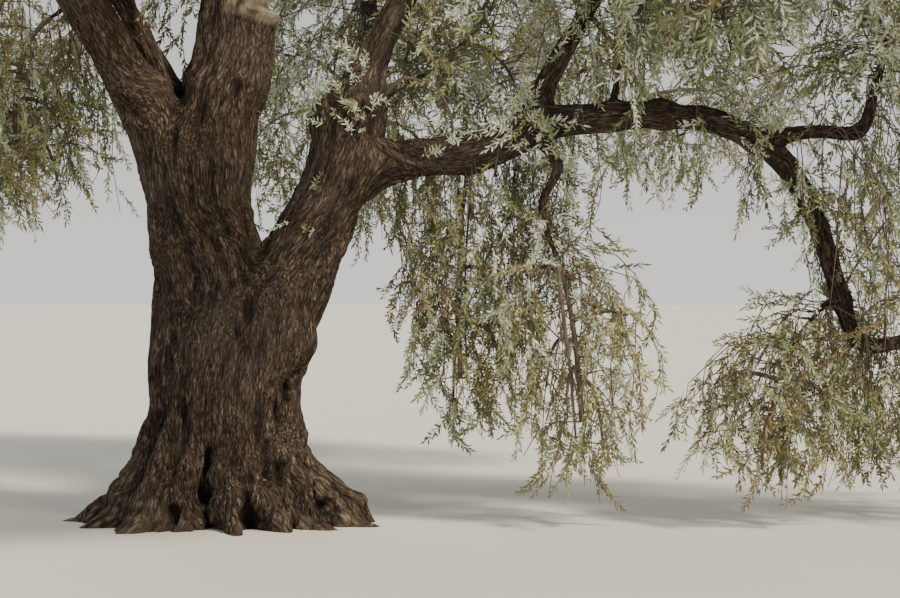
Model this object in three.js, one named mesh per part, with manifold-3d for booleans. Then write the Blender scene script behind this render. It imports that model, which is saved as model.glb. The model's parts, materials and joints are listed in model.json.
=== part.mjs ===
// An old olive tree rooted in the ground: a short fluted trunk on a flared foot forks into two boles,
// and the right-hand bole throws out one long bough that arches over and hangs down again.
// Millimetres, +Z up. The origin is the middle of the flat cut at ground level, +X runs along the
// arching bough and -Y is the side the tree is seen from.
import * as THREE from "three";
import { mergeVertices } from "three/addons/utils/BufferGeometryUtils.js";
import Module from "manifold-3d";

const wasm = await Module();
wasm.setup();

// Driving dimensions of the trunk.
const TRUNK_HALF_WIDTH = 450; // at its waist, between the foot and the fork
const TRUNK_HALF_DEPTH = 0.86; // of the half width
const TRUNK_TOP = 1500; // the column ends inside the two boles, just under their crotch
const FOOT_HEIGHT = 640; // the root buttresses run up the trunk this far
const FOOT_FALL = 1.5; // how steeply a buttress falls away from the trunk
const TRUNK_SIDES = 40;

// Height, middle and half width of the column, as shares of the waist's half width.
const COLUMN = [
  { z: 0, x: -0.04, half: 1.22 },
  { z: 300, x: -0.09, half: 1.13 },
  { z: 700, x: -0.11, half: 0.99 },
  { z: 1000, x: -0.01, half: 1.04 },
  { z: 1250, x: 0.1, half: 1.09 },
  { z: TRUNK_TOP, x: 0.24, half: 1.21 },
];

// Root buttresses round the foot: direction and width in degrees, and how far each stands out.
const ROOTS = [
  { angle: 183, width: 17, out: 395 },
  { angle: 207, width: 9, out: 210 },
  { angle: 232, width: 11, out: 300 },
  { angle: 256, width: 8, out: 230 },
  { angle: 279, width: 8, out: 250 },
  { angle: 304, width: 9, out: 270 },
  { angle: 329, width: 10, out: 330 },
  { angle: 354, width: 13, out: 425 },
  { angle: 26, width: 11, out: 300 },
  { angle: 58, width: 12, out: 340 },
  { angle: 92, width: 11, out: 300 },
  { angle: 126, width: 12, out: 330 },
  { angle: 156, width: 10, out: 280 },
];

// The burl on the right of the waist.
const BURL = { angle: -18, z: 1060, out: 75, width: 24, height: 150 };

// Faces that meet keep this much air between them.
const GAP = 0.3;

// Every limb: the points it passes through from inside the limb it springs from, its radius at each, how
// many sides its solid has, and for a bole the share of its length that is one piece with the trunk.
const LIMBS = [
  { name: "left_bole", fused: 0.36, sides: 12, steps: 5,
    route: [[-20, 0, 1100], [-150, 0, 1620], [-190, -10, 1950], [-215, -25, 2370]],
    radii: [320, 318, 300, 300] },
  { name: "left_bough", sides: 10, steps: 7,
    route: [[-290, -20, 2180], [-600, -80, 2640], [-880, -150, 3120], [-1280, -300, 3800], [-1700, -420, 4900]],
    radii: [230, 146, 134, 112, 75] },
  { name: "left_back_bough", sides: 7, steps: 7,
    route: [[-230, 50, 2280], [-430, 130, 2680], [-690, 210, 3150], [-1050, 600, 3850], [-1550, 1250, 4350]],
    radii: [105, 72, 62, 56, 44] },
  { name: "centre_bough", sides: 11, steps: 8,
    route: [[-140, 0, 2200], [-40, 20, 2640], [0, 40, 3100], [-80, 140, 4000], [20, 200, 4800], [80, 220, 5600]],
    radii: [262, 230, 200, 152, 112, 68] },
  { name: "left_side_bough", sides: 6, steps: 4,
    route: [[-1280, -300, 3800], [-1850, -480, 4180], [-2330, -600, 4360]],
    radii: [76, 58, 42] },
  { name: "left_front_bough", sides: 6, steps: 4,
    route: [[-1120, -240, 3540], [-1250, -1000, 4000], [-1350, -1650, 4200]],
    radii: [72, 52, 38] },
  { name: "left_low_bough", sides: 5, steps: 4,
    route: [[-1850, -480, 4180], [-2480, -420, 3960], [-2900, -420, 3680]],
    radii: [46, 36, 28] },
  { name: "left_back_low_bough", sides: 5, steps: 4,
    route: [[-1050, 600, 3850], [-1450, 1250, 3780], [-1720, 1640, 3560]],
    radii: [44, 34, 27] },
  { name: "centre_front_bough", sides: 7, steps: 5,
    route: [[-60, 110, 3650], [40, -600, 4300], [150, -1250, 4880]],
    radii: [98, 74, 54] },
  { name: "front_right_bough", sides: 5, steps: 4,
    route: [[20, -450, 4170], [520, -1180, 4300], [820, -1720, 4270]],
    radii: [58, 46, 36] },
  { name: "centre_back_bough", sides: 6, steps: 4,
    route: [[-50, 170, 4300], [20, 880, 4880], [80, 1380, 5180]],
    radii: [84, 62, 46] },
  { name: "right_bole", fused: 0.3, sides: 12, steps: 5,
    route: [[240, 20, 1180], [430, 20, 1570], [600, 28, 1950], [690, 35, 2240], [745, 40, 2520]],
    radii: [300, 242, 212, 208, 168] },
  { name: "upper_right_bough", sides: 8, steps: 7,
    route: [[745, 40, 2400], [864, 60, 2800], [1030, 100, 3150], [1380, 250, 3850], [1780, 380, 4800]],
    radii: [150, 92, 80, 68, 48] },
  { name: "right_back_bough", sides: 7, steps: 6,
    route: [[700, 60, 2260], [850, 600, 2840], [1230, 1250, 3700], [1700, 1660, 4150]],
    radii: [112, 74, 58, 44] },
  { name: "back_bough", sides: 6, steps: 4,
    route: [[850, 600, 2840], [720, 1560, 3480], [450, 2300, 3900]],
    radii: [64, 48, 36] },
  { name: "back_low_bough", sides: 5, steps: 3,
    route: [[720, 1560, 3480], [690, 2180, 3420], [640, 2620, 3240]],
    radii: [42, 34, 27] },
  { name: "right_back_low_bough", sides: 5, steps: 3,
    route: [[1230, 1250, 3700], [1760, 1650, 3720], [2080, 1960, 3560]],
    radii: [46, 36, 28] },
  { name: "rise_shoot", sides: 5, steps: 4,
    route: [[760, 60, 2440], [990, 120, 2600], [1160, 200, 2700]],
    radii: [34, 22, 17] },
  { name: "arch_rise", sides: 9, steps: 9,
    route: [[740, 0, 2100], [1134, -40, 2166], [1494, -90, 2208], [1854, -110, 2358], [2214, -100, 2400],
      [2574, -80, 2424]],
    radii: [170, 122, 122, 96, 84, 77] },
  { name: "arch_fall", sides: 8, steps: 8,
    route: [[2574, -80, 2424], [2934, -40, 2370], [3294, 0, 2160], [3512, 40, 1812], [3672, 70, 1320]],
    radii: [77, 76, 76, 61, 54] },
  { name: "arch_hook", sides: 7, steps: 6,
    route: [[3672, 70, 1320], [3800, 90, 1066], [4002, 110, 1060], [4230, 120, 1190]],
    radii: [54, 50, 42, 34] },
  { name: "arch_upright", sides: 7, steps: 6,
    route: [[1790, -100, 2340], [1902, -60, 2640], [2106, 20, 3000], [2440, 40, 3600], [2720, 0, 3980]],
    radii: [84, 66, 54, 44, 35] },
  { name: "arch_shoot", sides: 5, steps: 4,
    route: [[2280, -95, 2400], [2310, -95, 2660], [2400, -130, 2960]],
    radii: [34, 19, 15] },
  { name: "arch_spur", sides: 6, steps: 6,
    route: [[3150, -20, 2270], [3480, -70, 2322], [3740, -110, 2325], [3830, -130, 2560], [3900, -150, 2860]],
    radii: [56, 42, 44, 30, 22] },
  { name: "drop_limb", sides: 5, steps: 8,
    route: [[1780, -100, 2330], [1950, -210, 2120], [1850, -230, 1880], [1880, -230, 1740], [1945, -220, 1560]],
    radii: [52, 32, 25, 21, 16] },
  { name: "fall_shoot", sides: 5, steps: 3,
    route: [[3672, 70, 1330], [3560, -30, 1290], [3450, -110, 1190]],
    radii: [34, 22, 16] },
  { name: "left_shoot", sides: 5, steps: 3,
    route: [[-690, 210, 3150], [-960, 330, 3190], [-1160, 380, 3080]],
    radii: [38, 24, 17] },
  { name: "curtain_limb", sides: 5, steps: 3,
    route: [[1450, -80, 2200], [1420, 80, 2100], [1400, 190, 1960]],
    radii: [40, 22, 16] },
];

// The large limb sawn off on the right of the centre bough.
const SAWN_STUB = { limb: "centre_bough", route: [[40, 0, 2640], [100, -20, 2850], [158, -40, 3030]], radii: [165, 138, 122], sides: 10 };

// Every mass of foliage: the limb whose tip its stem grows on from, the middle and half sizes of the
// space it keeps to, how far its twigs weep (0 to 1), and its seed.
const MASSES = [
  { name: "foliage_crown_top", limb: "centre_bough", middle: [150, 200, 7100], half: [1500, 1400, 1150], weep: 0.1, seed: 1 },
  { name: "foliage_upper_left", limb: "left_bough", middle: [-1950, -350, 6000], half: [1400, 1350, 1100], weep: 0.2, seed: 2 },
  { name: "foliage_upper_right", limb: "upper_right_bough", middle: [2150, 350, 5950], half: [1450, 1350, 1100], weep: 0.2, seed: 3 },
  { name: "foliage_upper_front", limb: "centre_front_bough", middle: [200, -2100, 5850], half: [1350, 1250, 1050], weep: 0.3, seed: 4 },
  { name: "foliage_upper_back", limb: "centre_back_bough", middle: [100, 2250, 5950], half: [1400, 1250, 1100], weep: 0.3, seed: 5 },
  { name: "foliage_left", limb: "left_side_bough", middle: [-3250, -750, 4500], half: [1200, 1250, 1000], weep: 0.4, seed: 6 },
  { name: "foliage_left_back", limb: "left_back_bough", middle: [-2350, 1950, 4600], half: [1250, 1250, 1050], weep: 0.4, seed: 7 },
  { name: "foliage_front_left", limb: "left_front_bough", middle: [-1450, -2750, 4400], half: [1300, 1200, 900], weep: 0.4, seed: 8 },
  { name: "foliage_front_right", limb: "front_right_bough", middle: [1500, -2750, 4350], half: [1350, 1200, 900], weep: 0.4, seed: 9 },
  { name: "foliage_right", limb: "arch_upright", middle: [3650, -500, 4450], half: [1350, 1250, 1000], weep: 0.4, seed: 10 },
  { name: "foliage_right_back", limb: "right_back_bough", middle: [2550, 2300, 4550], half: [1350, 1250, 1000], weep: 0.4, seed: 11 },
  { name: "foliage_back", limb: "back_bough", middle: [100, 3250, 4350], half: [1300, 1100, 950], weep: 0.5, seed: 12 },
  { name: "foliage_left_weeping", limb: "left_low_bough", middle: [-3550, -450, 2750], half: [950, 1250, 1150], weep: 0.9, seed: 13 },
  { name: "foliage_left_back_weeping", limb: "left_back_low_bough", middle: [-2150, 2150, 2800], half: [1100, 1050, 1150], weep: 0.9, seed: 14 },
  { name: "foliage_back_weeping", limb: "back_low_bough", middle: [500, 3250, 2650], half: [1200, 950, 1050], weep: 0.9, seed: 15 },
  { name: "foliage_right_back_weeping", limb: "right_back_low_bough", middle: [2750, 2550, 2900], half: [1250, 1050, 900], weep: 0.8, seed: 16 },
  { name: "foliage_rise_crown", limb: "rise_shoot", middle: [1450, 420, 3020], half: [640, 640, 620], weep: 0.5, seed: 17 },
  { name: "foliage_arch_crown", limb: "arch_shoot", middle: [2850, -250, 3150], half: [820, 700, 640], weep: 0.5, seed: 18 },
  { name: "foliage_spur_crown", limb: "arch_spur", middle: [4450, -250, 2950], half: [1050, 900, 800], weep: 0.7, seed: 19 },
  { name: "foliage_left_spray", limb: "left_shoot", middle: [-1330, 400, 2420], half: [540, 560, 640], weep: 0.8, seed: 23 },
  { name: "foliage_fall_curtain", limb: "fall_shoot", middle: [3230, -190, 700], half: [500, 520, 600], weep: 0.9, seed: 24 },
  { name: "foliage_inner_curtain", limb: "curtain_limb", middle: [1380, 260, 1200], half: [430, 560, 850], weep: 1, seed: 20 },
  { name: "foliage_drop_curtain", limb: "drop_limb", middle: [2060, -200, 980], half: [440, 540, 900], weep: 1, seed: 21 },
  { name: "foliage_right_curtain", limb: "arch_hook", middle: [4720, 120, 1330], half: [900, 1000, 1200], weep: 0.9, seed: 22 },
];

// Foliage: stems and twigs are three-sided, and each blade stands for a spray of leaves.
const TWIG_SIDES = 3;
const TWIG_STEPS = 2;
const STEM_STEPS = 3;
const TWIG_RADIUS = 17;
const TWIG_TIP_RADIUS = 8;
const TWIG_AREA = 2.55e6; // one twig for this much of the space's surface, in square millimetres
const FEWEST_TWIGS = 5;
const TWIG_REACH = 0.76; // twigs end this far out in their space
const BLADES_ON_A_TWIG = 3;
const BLADE_SPACING = 0.38; // between blades, as a share of the twig's length
const BLADE_LENGTH = 0.86; // of the space's mean half size
const BLADE_TILT = 1.6; // radians by which blades differ in how they face outward
const BLADE_FALL = 0.8; // how strongly they hang in a weeping mass
const BLADE_WIDTH = 0.5; // of its own length
const BLADE_THICKNESS = 0.022; // of its own length
const BLADE_ROOM = 0.6; // middles of blades stay this far apart, as a share of the blade's length
// A blade that would not keep clear is turned about its twig, in radians, and then made smaller.
const BLADE_TURNS = [0, 0.9, -0.9, 1.8, -1.8, 2.7];
const BLADE_SIZES = [1, 0.8, 0.64, 0.5, 0.38];
const CLEARANCE = 12; // between foliage and any limb or any other mass
const GOLDEN_ANGLE = Math.PI * (3 - Math.sqrt(5));

const BARK = new THREE.MeshStandardMaterial({ color: 0x6b5a4a, roughness: 0.95, metalness: 0 });
const LEAVES = new THREE.MeshStandardMaterial({ color: 0x8a9168, roughness: 0.7, metalness: 0 });

const vector = (p) => new THREE.Vector3(p[0], p[1], p[2]);

// A number from 0 to 1 that depends only on a seed and a count.
function chance(seed, count) {
  const s = Math.sin(seed * 12.9898 + count * 78.233) * 43758.5453;
  return s - Math.floor(s);
}

// The value at x on a straight line through rows of { at, value }.
function between(x, rows) {
  if (x <= rows[0].at) return rows[0].value;
  for (let i = 1; i < rows.length; i++) {
    const [a, b] = [rows[i - 1], rows[i]];
    if (x <= b.at) return a.value + ((b.value - a.value) * (x - a.at)) / (b.at - a.at);
  }
  return rows[rows.length - 1].value;
}

// A closed three.js geometry as a solid that can be joined.
function solidOf(geometry) {
  const bare = geometry.clone();
  bare.deleteAttribute("normal");
  bare.deleteAttribute("uv");
  const merged = mergeVertices(bare, 1e-3);
  return new wasm.Manifold(
    new wasm.Mesh({
      numProp: 3,
      vertProperties: new Float32Array(merged.attributes.position.array),
      triVerts: new Uint32Array(merged.index.array),
    }),
  );
}

// The largest shell of a solid, without the scraps and sealed hollows that joining can leave.
function oneBody(solid) {
  return solid.decompose().reduce((best, next) => (next.volume() > best.volume() ? next : best));
}

// A solid as a named mesh.
function meshOf(name, solid, material) {
  const { vertProperties, triVerts } = oneBody(solid).getMesh();
  const geometry = new THREE.BufferGeometry();
  geometry.setAttribute("position", new THREE.BufferAttribute(new Float32Array(vertProperties), 3));
  geometry.setIndex(new THREE.BufferAttribute(new Uint32Array(triVerts), 1));
  geometry.computeVertexNormals();
  const mesh = new THREE.Mesh(geometry, material);
  mesh.name = name;
  return mesh;
}

// Two directions square to a curve at each step along it, carried along so that they never spin.
function framesOf(curve, count) {
  const frames = [];
  let side = new THREE.Vector3(0, 1, 0);
  for (let i = 0; i <= count; i++) {
    const along = curve.getTangent(i / count);
    if (i === 0 && Math.abs(along.y) > 0.8) side.set(1, 0, 0);
    side = side.clone().addScaledVector(along, -side.dot(along)).normalize();
    frames.push({ side, up: new THREE.Vector3().crossVectors(along, side) });
  }
  return frames;
}

const FRAMES = 48;

// A rod is a curve with a radius at evenly spaced shares of its length.
function rodOf(curve, radii, sides) {
  return { curve, sides, frames: framesOf(curve, FRAMES),
    rows: radii.map((value, i) => ({ at: i / (radii.length - 1), value })) };
}

// The closed tube of a rod between two shares of its length, with all its faces moved out by grow.
function tube(rod, from, to, steps, grow = 0) {
  const geometry = new THREE.CylinderGeometry(1, 1, 1, rod.sides, steps);
  const place = geometry.attributes.position;
  for (let i = 0; i < place.count; i++) {
    const part = place.getY(i) + 0.5;
    const share = from + (to - from) * part;
    const { side, up } = rod.frames[Math.round(share * FRAMES)];
    const radius = between(share, rod.rows) + grow / Math.cos(Math.PI / rod.sides);
    const p = rod.curve.getPoint(share);
    p.addScaledVector(up, place.getX(i) * radius).addScaledVector(side, place.getZ(i) * radius);
    if (part === 0 || part === 1) p.addScaledVector(rod.curve.getTangent(share), part ? grow : -grow);
    place.setXYZ(i, p.x, p.y, p.z);
  }
  return solidOf(geometry);
}

// How far the trunk's surface stands from its middle at a height and direction, before its depth is
// flattened.
function trunkRadius(z, angle) {
  const half = between(z, COLUMN.map((row) => ({ at: row.z, value: row.half }))) * TRUNK_HALF_WIDTH;
  const turn = (from) => Math.abs(THREE.MathUtils.euclideanModulo(angle - from + 180, 360) - 180);
  const foot = Math.max(0, 1 - z / FOOT_HEIGHT) ** FOOT_FALL;
  const roots = ROOTS.reduce((sum, root) => sum + root.out * Math.exp(-((turn(root.angle) / root.width) ** 2)), 0);
  const burl = BURL.out * Math.exp(-((turn(BURL.angle) / BURL.width) ** 2) - ((z - BURL.z) / BURL.height) ** 2);
  return half + foot * roots + burl;
}

// The trunk's column with its root flare, from the flat cut at the ground to just under the fork.
function trunkColumn(grow) {
  const levels = [0, 70, 160, 270, 400, 560, 760, 960, 1160, 1340, TRUNK_TOP];
  const geometry = new THREE.CylinderGeometry(1, 1, 1, TRUNK_SIDES, levels.length - 1);
  geometry.rotateX(Math.PI / 2);
  const place = geometry.attributes.position;
  for (let i = 0; i < place.count; i++) {
    const z = levels[Math.round((place.getZ(i) + 0.5) * (levels.length - 1))];
    const middle = between(z, COLUMN.map((row) => ({ at: row.z, value: row.x }))) * TRUNK_HALF_WIDTH;
    const [cos, sin] = [place.getX(i), place.getY(i)];
    const onRim = Math.hypot(cos, sin) > 0.5;
    const radius = onRim ? trunkRadius(z, THREE.MathUtils.radToDeg(Math.atan2(sin, cos))) + grow : 0;
    place.setXYZ(i, middle + cos * radius, sin * radius * TRUNK_HALF_DEPTH, z === TRUNK_TOP ? z + grow : z);
  }
  return solidOf(geometry);
}

// Limbs with their curves, keyed by name, and the balls that fill them, which foliage keeps clear of.
const routeRod = ({ route, radii, sides }) => rodOf(new THREE.CatmullRomCurve3(route.map(vector)), radii, sides);
const limbs = new Map(LIMBS.map((limb) => [limb.name, { fused: 0, ...limb, rod: routeRod(limb) }]));
const stubRod = routeRod(SAWN_STUB);
const BALLS = 60;
const limbBalls = [...limbs.values()].map((limb) => limb.rod).concat(stubRod).flatMap((rod) =>
  Array.from({ length: BALLS + 1 }, (_, i) => ({ at: rod.curve.getPoint(i / BALLS), radius: between(i / BALLS, rod.rows) })),
);

// The trunk with the feet of both boles fused on.
function trunkSolid(grow) {
  return [...limbs.values()]
    .filter((limb) => limb.fused)
    .reduce((solid, limb) => solid.add(tube(limb.rod, 0, limb.fused, 3, grow)), trunkColumn(grow));
}

// One limb's solid, with its sawn stub where it has one.
function limbSolid(limb, grow) {
  const solid = tube(limb.rod, limb.fused, 1, limb.steps, grow);
  if (limb.name !== SAWN_STUB.limb) return solid;
  return solid.add(tube(stubRod, 0, 1, 2, grow));
}

// How far out a point lies in a mass's space: 0 in its middle, 1 at its edge.
function depthIn(mass, p) {
  return Math.hypot(...mass.middle.map((m, i) => (p.getComponent(i) - m) / mass.half[i]));
}

// Whether every point lies in the mass's own space, clear of its neighbours' spaces and of all limbs.
function keepsClear(mass, points, thickness) {
  return points.every((p) => {
    const depth = depthIn(mass, p);
    if (depth > 1 || p.z < CLEARANCE) return false;
    const air = (CLEARANCE + thickness) / Math.min(...mass.half);
    if (MASSES.some((other) => other !== mass && depthIn(other, p) < depth + air)) return false;
    return limbBalls.every(({ at, radius }) => at.distanceTo(p) > radius + CLEARANCE + thickness);
  });
}

const pointsOn = (curve, count) => Array.from({ length: count }, (_, i) => curve.getPoint((i + 1) / count));

// The stem that grows on from the limb's tip and runs through the space towards its far side.
function stemOf(mass) {
  const { rod, radii } = limbs.get(mass.limb);
  const along = rod.curve.getTangent(1);
  const root = rod.curve.getPoint(1).addScaledVector(along, GAP);
  const middle = vector(mass.middle);
  const span = root.distanceTo(middle);
  const far = middle.clone().addScaledVector(middle.clone().sub(root).normalize(), 0.35 * Math.min(...mass.half));
  far.z += (0.25 - 0.5 * mass.weep) * mass.half[2];
  const bend = root.clone().addScaledVector(along, 0.55 * span);
  return rodOf(new THREE.QuadraticBezierCurve3(root, bend, far), [radii[radii.length - 1] * 0.95, TWIG_RADIUS], TWIG_SIDES);
}

// The twigs of a mass: they leave the stem in turn and fan out to points spread evenly over its space.
function twigsOf(mass, stem) {
  const [a, b, c] = mass.half;
  const area = (4 * Math.PI * (a * b + b * c + c * a)) / 3;
  const count = Math.max(FEWEST_TWIGS, Math.round(area / TWIG_AREA));
  const twigs = [];
  for (let i = 0; i < count; i++) {
    const rise = 1 - (2 * (i + 0.5)) / count;
    const turn = GOLDEN_ANGLE * i + 2 * Math.PI * chance(mass.seed, 0);
    const flat = Math.sqrt(1 - rise * rise);
    const out = TWIG_REACH * (0.85 + 0.15 * chance(mass.seed, i + 1));
    const tip = vector(mass.middle).add(
      new THREE.Vector3(a * Math.cos(turn) * flat, b * Math.sin(turn) * flat, c * rise).multiplyScalar(out));
    const share = 0.12 + 0.7 * nearestShare(stem.curve, tip);
    const foot = stem.curve.getPoint(share);
    const lift = foot.distanceTo(tip) * 0.22;
    const arched = foot.clone().lerp(tip, 0.5).add(new THREE.Vector3(0, 0, lift));
    const hung = new THREE.Vector3(tip.x, tip.y, Math.max(foot.z, tip.z)).lerp(foot, 0.25).add(new THREE.Vector3(0, 0, lift));
    const curve = new THREE.QuadraticBezierCurve3(foot, arched.lerp(hung, mass.weep), tip);
    const twig = rodOf(curve, [TWIG_RADIUS, TWIG_TIP_RADIUS], TWIG_SIDES);
    if (keepsClear(mass, pointsOn(curve, 8), TWIG_RADIUS)) twigs.push(twig);
  }
  return twigs;
}

// The share of a curve's length at which it comes nearest to a point.
function nearestShare(curve, point) {
  const shares = Array.from({ length: 21 }, (_, i) => i / 20);
  const gap = (share) => curve.getPoint(share).distanceTo(point);
  return shares.reduce((best, share) => (gap(share) < gap(best) ? share : best), 0);
}

// A blade that stands for a spray of leaves: eight faces, its foot sunk in the twig.
function bladeAt(foot, along, across, length) {
  const thick = new THREE.Vector3().crossVectors(along, across).normalize();
  const basis = new THREE.Matrix4().makeBasis(
    along.clone().multiplyScalar(length / 2),
    across.clone().multiplyScalar((length * BLADE_WIDTH) / 2),
    thick.multiplyScalar((length * BLADE_THICKNESS) / 2));
  basis.setPosition(foot.clone().addScaledVector(along, length / 2));
  const geometry = new THREE.OctahedronGeometry(1).applyMatrix4(basis);
  const tip = foot.clone().addScaledVector(along, length);
  const waist = foot.clone().addScaledVector(along, length / 2);
  const rims = [-1, 1].map((s) => waist.clone().addScaledVector(across, (s * length * BLADE_WIDTH) / 2));
  return { geometry, points: [waist, tip, ...rims, ...rims.map((rim) => rim.clone().lerp(tip, 0.5))] };
}

// Adds the blades of one twig to a mass, in turn round the twig, the first one growing on from its tip.
function addBlades(mass, twig, seed, count, blades) {
  const length = (BLADE_LENGTH * (mass.half[0] + mass.half[1] + mass.half[2])) / 3;
  const tries = BLADE_SIZES.flatMap((size) => BLADE_TURNS.map((turn) => ({ size, turn })));
  for (let j = 0; j < count; j++) {
    const share = 1 - BLADE_SPACING * j;
    const foot = twig.curve.getPoint(share);
    const { side, up } = twig.frames[Math.round(share * FRAMES)];
    const outward = foot.clone().sub(vector(mass.middle)).divide(vector(mass.half)).normalize();
    for (const { size, turn } of tries) {
      const angle = GOLDEN_ANGLE * j + 2 * Math.PI * chance(seed, j) + turn;
      const out = side.clone().multiplyScalar(Math.cos(angle)).addScaledVector(up, Math.sin(angle));
      const along = j === 0 ? twig.curve.getTangent(share).add(out) : out;
      along.z -= BLADE_FALL * mass.weep;
      along.normalize();
      const across = new THREE.Vector3().crossVectors(along, outward).normalize();
      across.applyAxisAngle(along, BLADE_TILT * (chance(seed, j + 50) - 0.5));
      const blade = bladeAt(foot, along, across, length * size);
      const crowded = blades.some((other) => other.points[0].distanceTo(blade.points[0]) < BLADE_ROOM * length * size);
      if (!crowded && keepsClear(mass, blade.points, length * BLADE_THICKNESS)) {
        blades.push(blade);
        break;
      }
    }
  }
}

// One mass of foliage as a single solid.
function massSolid(mass) {
  const stem = stemOf(mass);
  const twigs = twigsOf(mass, stem);
  const blades = [];
  twigs.forEach((twig, i) => addBlades(mass, twig, mass.seed * 100 + i, BLADES_ON_A_TWIG, blades));
  addBlades(mass, stem, mass.seed * 100 + 99, 1, blades);
  const wood = twigs.reduce((solid, twig) => solid.add(tube(twig, 0, 1, TWIG_STEPS)), tube(stem, 0, 1, STEM_STEPS));
  return blades.reduce((solid, blade) => solid.add(solidOf(blade.geometry)), wood);
}

// Each piece is cut back to leave a gap to every piece before it.
const taken = [];
function fitted(solid, grown) {
  const cut = taken.reduce((rest, other) => rest.subtract(other), solid);
  taken.push(grown);
  return cut;
}

const tree = new THREE.Group();
tree.add(meshOf("trunk", fitted(trunkSolid(0), trunkSolid(GAP)), BARK));
for (const limb of limbs.values()) {
  tree.add(meshOf(limb.name, fitted(limbSolid(limb, 0), limbSolid(limb, GAP)), BARK));
}
for (const mass of MASSES) tree.add(meshOf(mass.name, taken.reduce((rest, limb) => rest.subtract(limb), massSolid(mass)), LEAVES));

export default tree;
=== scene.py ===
"""An old olive tree, dressed over its CAD solids: furrowed bark, fine twigs and sprays of leaves."""

import itertools
import json
import logging
import math
from dataclasses import dataclass
from enum import Enum
from typing import Iterable, Sequence

import bmesh
import bpy
import numpy as np
from bpy.types import Collection, Material, Mesh, Node, Object
from bpy.types import NodeSocket as Socket
from bpy.types import NodeTree as Tree
from mathutils import Matrix, Vector

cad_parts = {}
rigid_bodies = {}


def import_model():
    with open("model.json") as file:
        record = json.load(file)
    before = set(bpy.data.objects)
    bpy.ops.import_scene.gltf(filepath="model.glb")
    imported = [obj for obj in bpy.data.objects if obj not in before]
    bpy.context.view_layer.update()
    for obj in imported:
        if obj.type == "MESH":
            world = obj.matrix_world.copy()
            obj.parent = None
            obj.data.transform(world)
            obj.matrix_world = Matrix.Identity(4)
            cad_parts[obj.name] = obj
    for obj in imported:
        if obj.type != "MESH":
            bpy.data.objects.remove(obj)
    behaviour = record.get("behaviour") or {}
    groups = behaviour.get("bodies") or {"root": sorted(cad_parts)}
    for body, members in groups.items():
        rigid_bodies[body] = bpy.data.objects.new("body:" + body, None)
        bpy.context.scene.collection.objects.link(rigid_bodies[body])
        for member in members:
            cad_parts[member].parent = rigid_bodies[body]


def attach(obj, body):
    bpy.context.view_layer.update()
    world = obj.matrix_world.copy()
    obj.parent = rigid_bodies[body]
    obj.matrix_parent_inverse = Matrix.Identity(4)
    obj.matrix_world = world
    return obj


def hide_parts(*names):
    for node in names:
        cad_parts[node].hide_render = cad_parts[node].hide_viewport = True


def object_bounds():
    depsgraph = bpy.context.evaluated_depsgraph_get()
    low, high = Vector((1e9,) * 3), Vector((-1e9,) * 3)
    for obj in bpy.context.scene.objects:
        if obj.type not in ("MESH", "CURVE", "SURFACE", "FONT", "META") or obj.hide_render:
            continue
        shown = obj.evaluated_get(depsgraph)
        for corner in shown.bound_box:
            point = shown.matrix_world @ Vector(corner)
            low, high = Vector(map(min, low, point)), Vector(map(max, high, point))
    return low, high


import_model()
CAD_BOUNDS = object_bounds()
log = logging.getLogger("olive")

Array = np.ndarray
Random = np.random.Generator
# Points, and faces as rows of the points' numbers.
Shape = tuple[Array, Iterable[Sequence[int]]]
# A place, a direction or a size along X, Y and Z.
Place = tuple[float, float, float]
# Two numbers that go together, such as both ends of a stretch.
Span = tuple[float, float]

MM = 0.001
GOLDEN_ANGLE = math.pi * (3 - math.sqrt(5))
GAP = 0.3 * MM
CURVE_SAMPLES = 97
# Where the photograph was taken from, in metres.
VIEWPOINT = (1.314, -10.5, 1.326)

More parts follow.
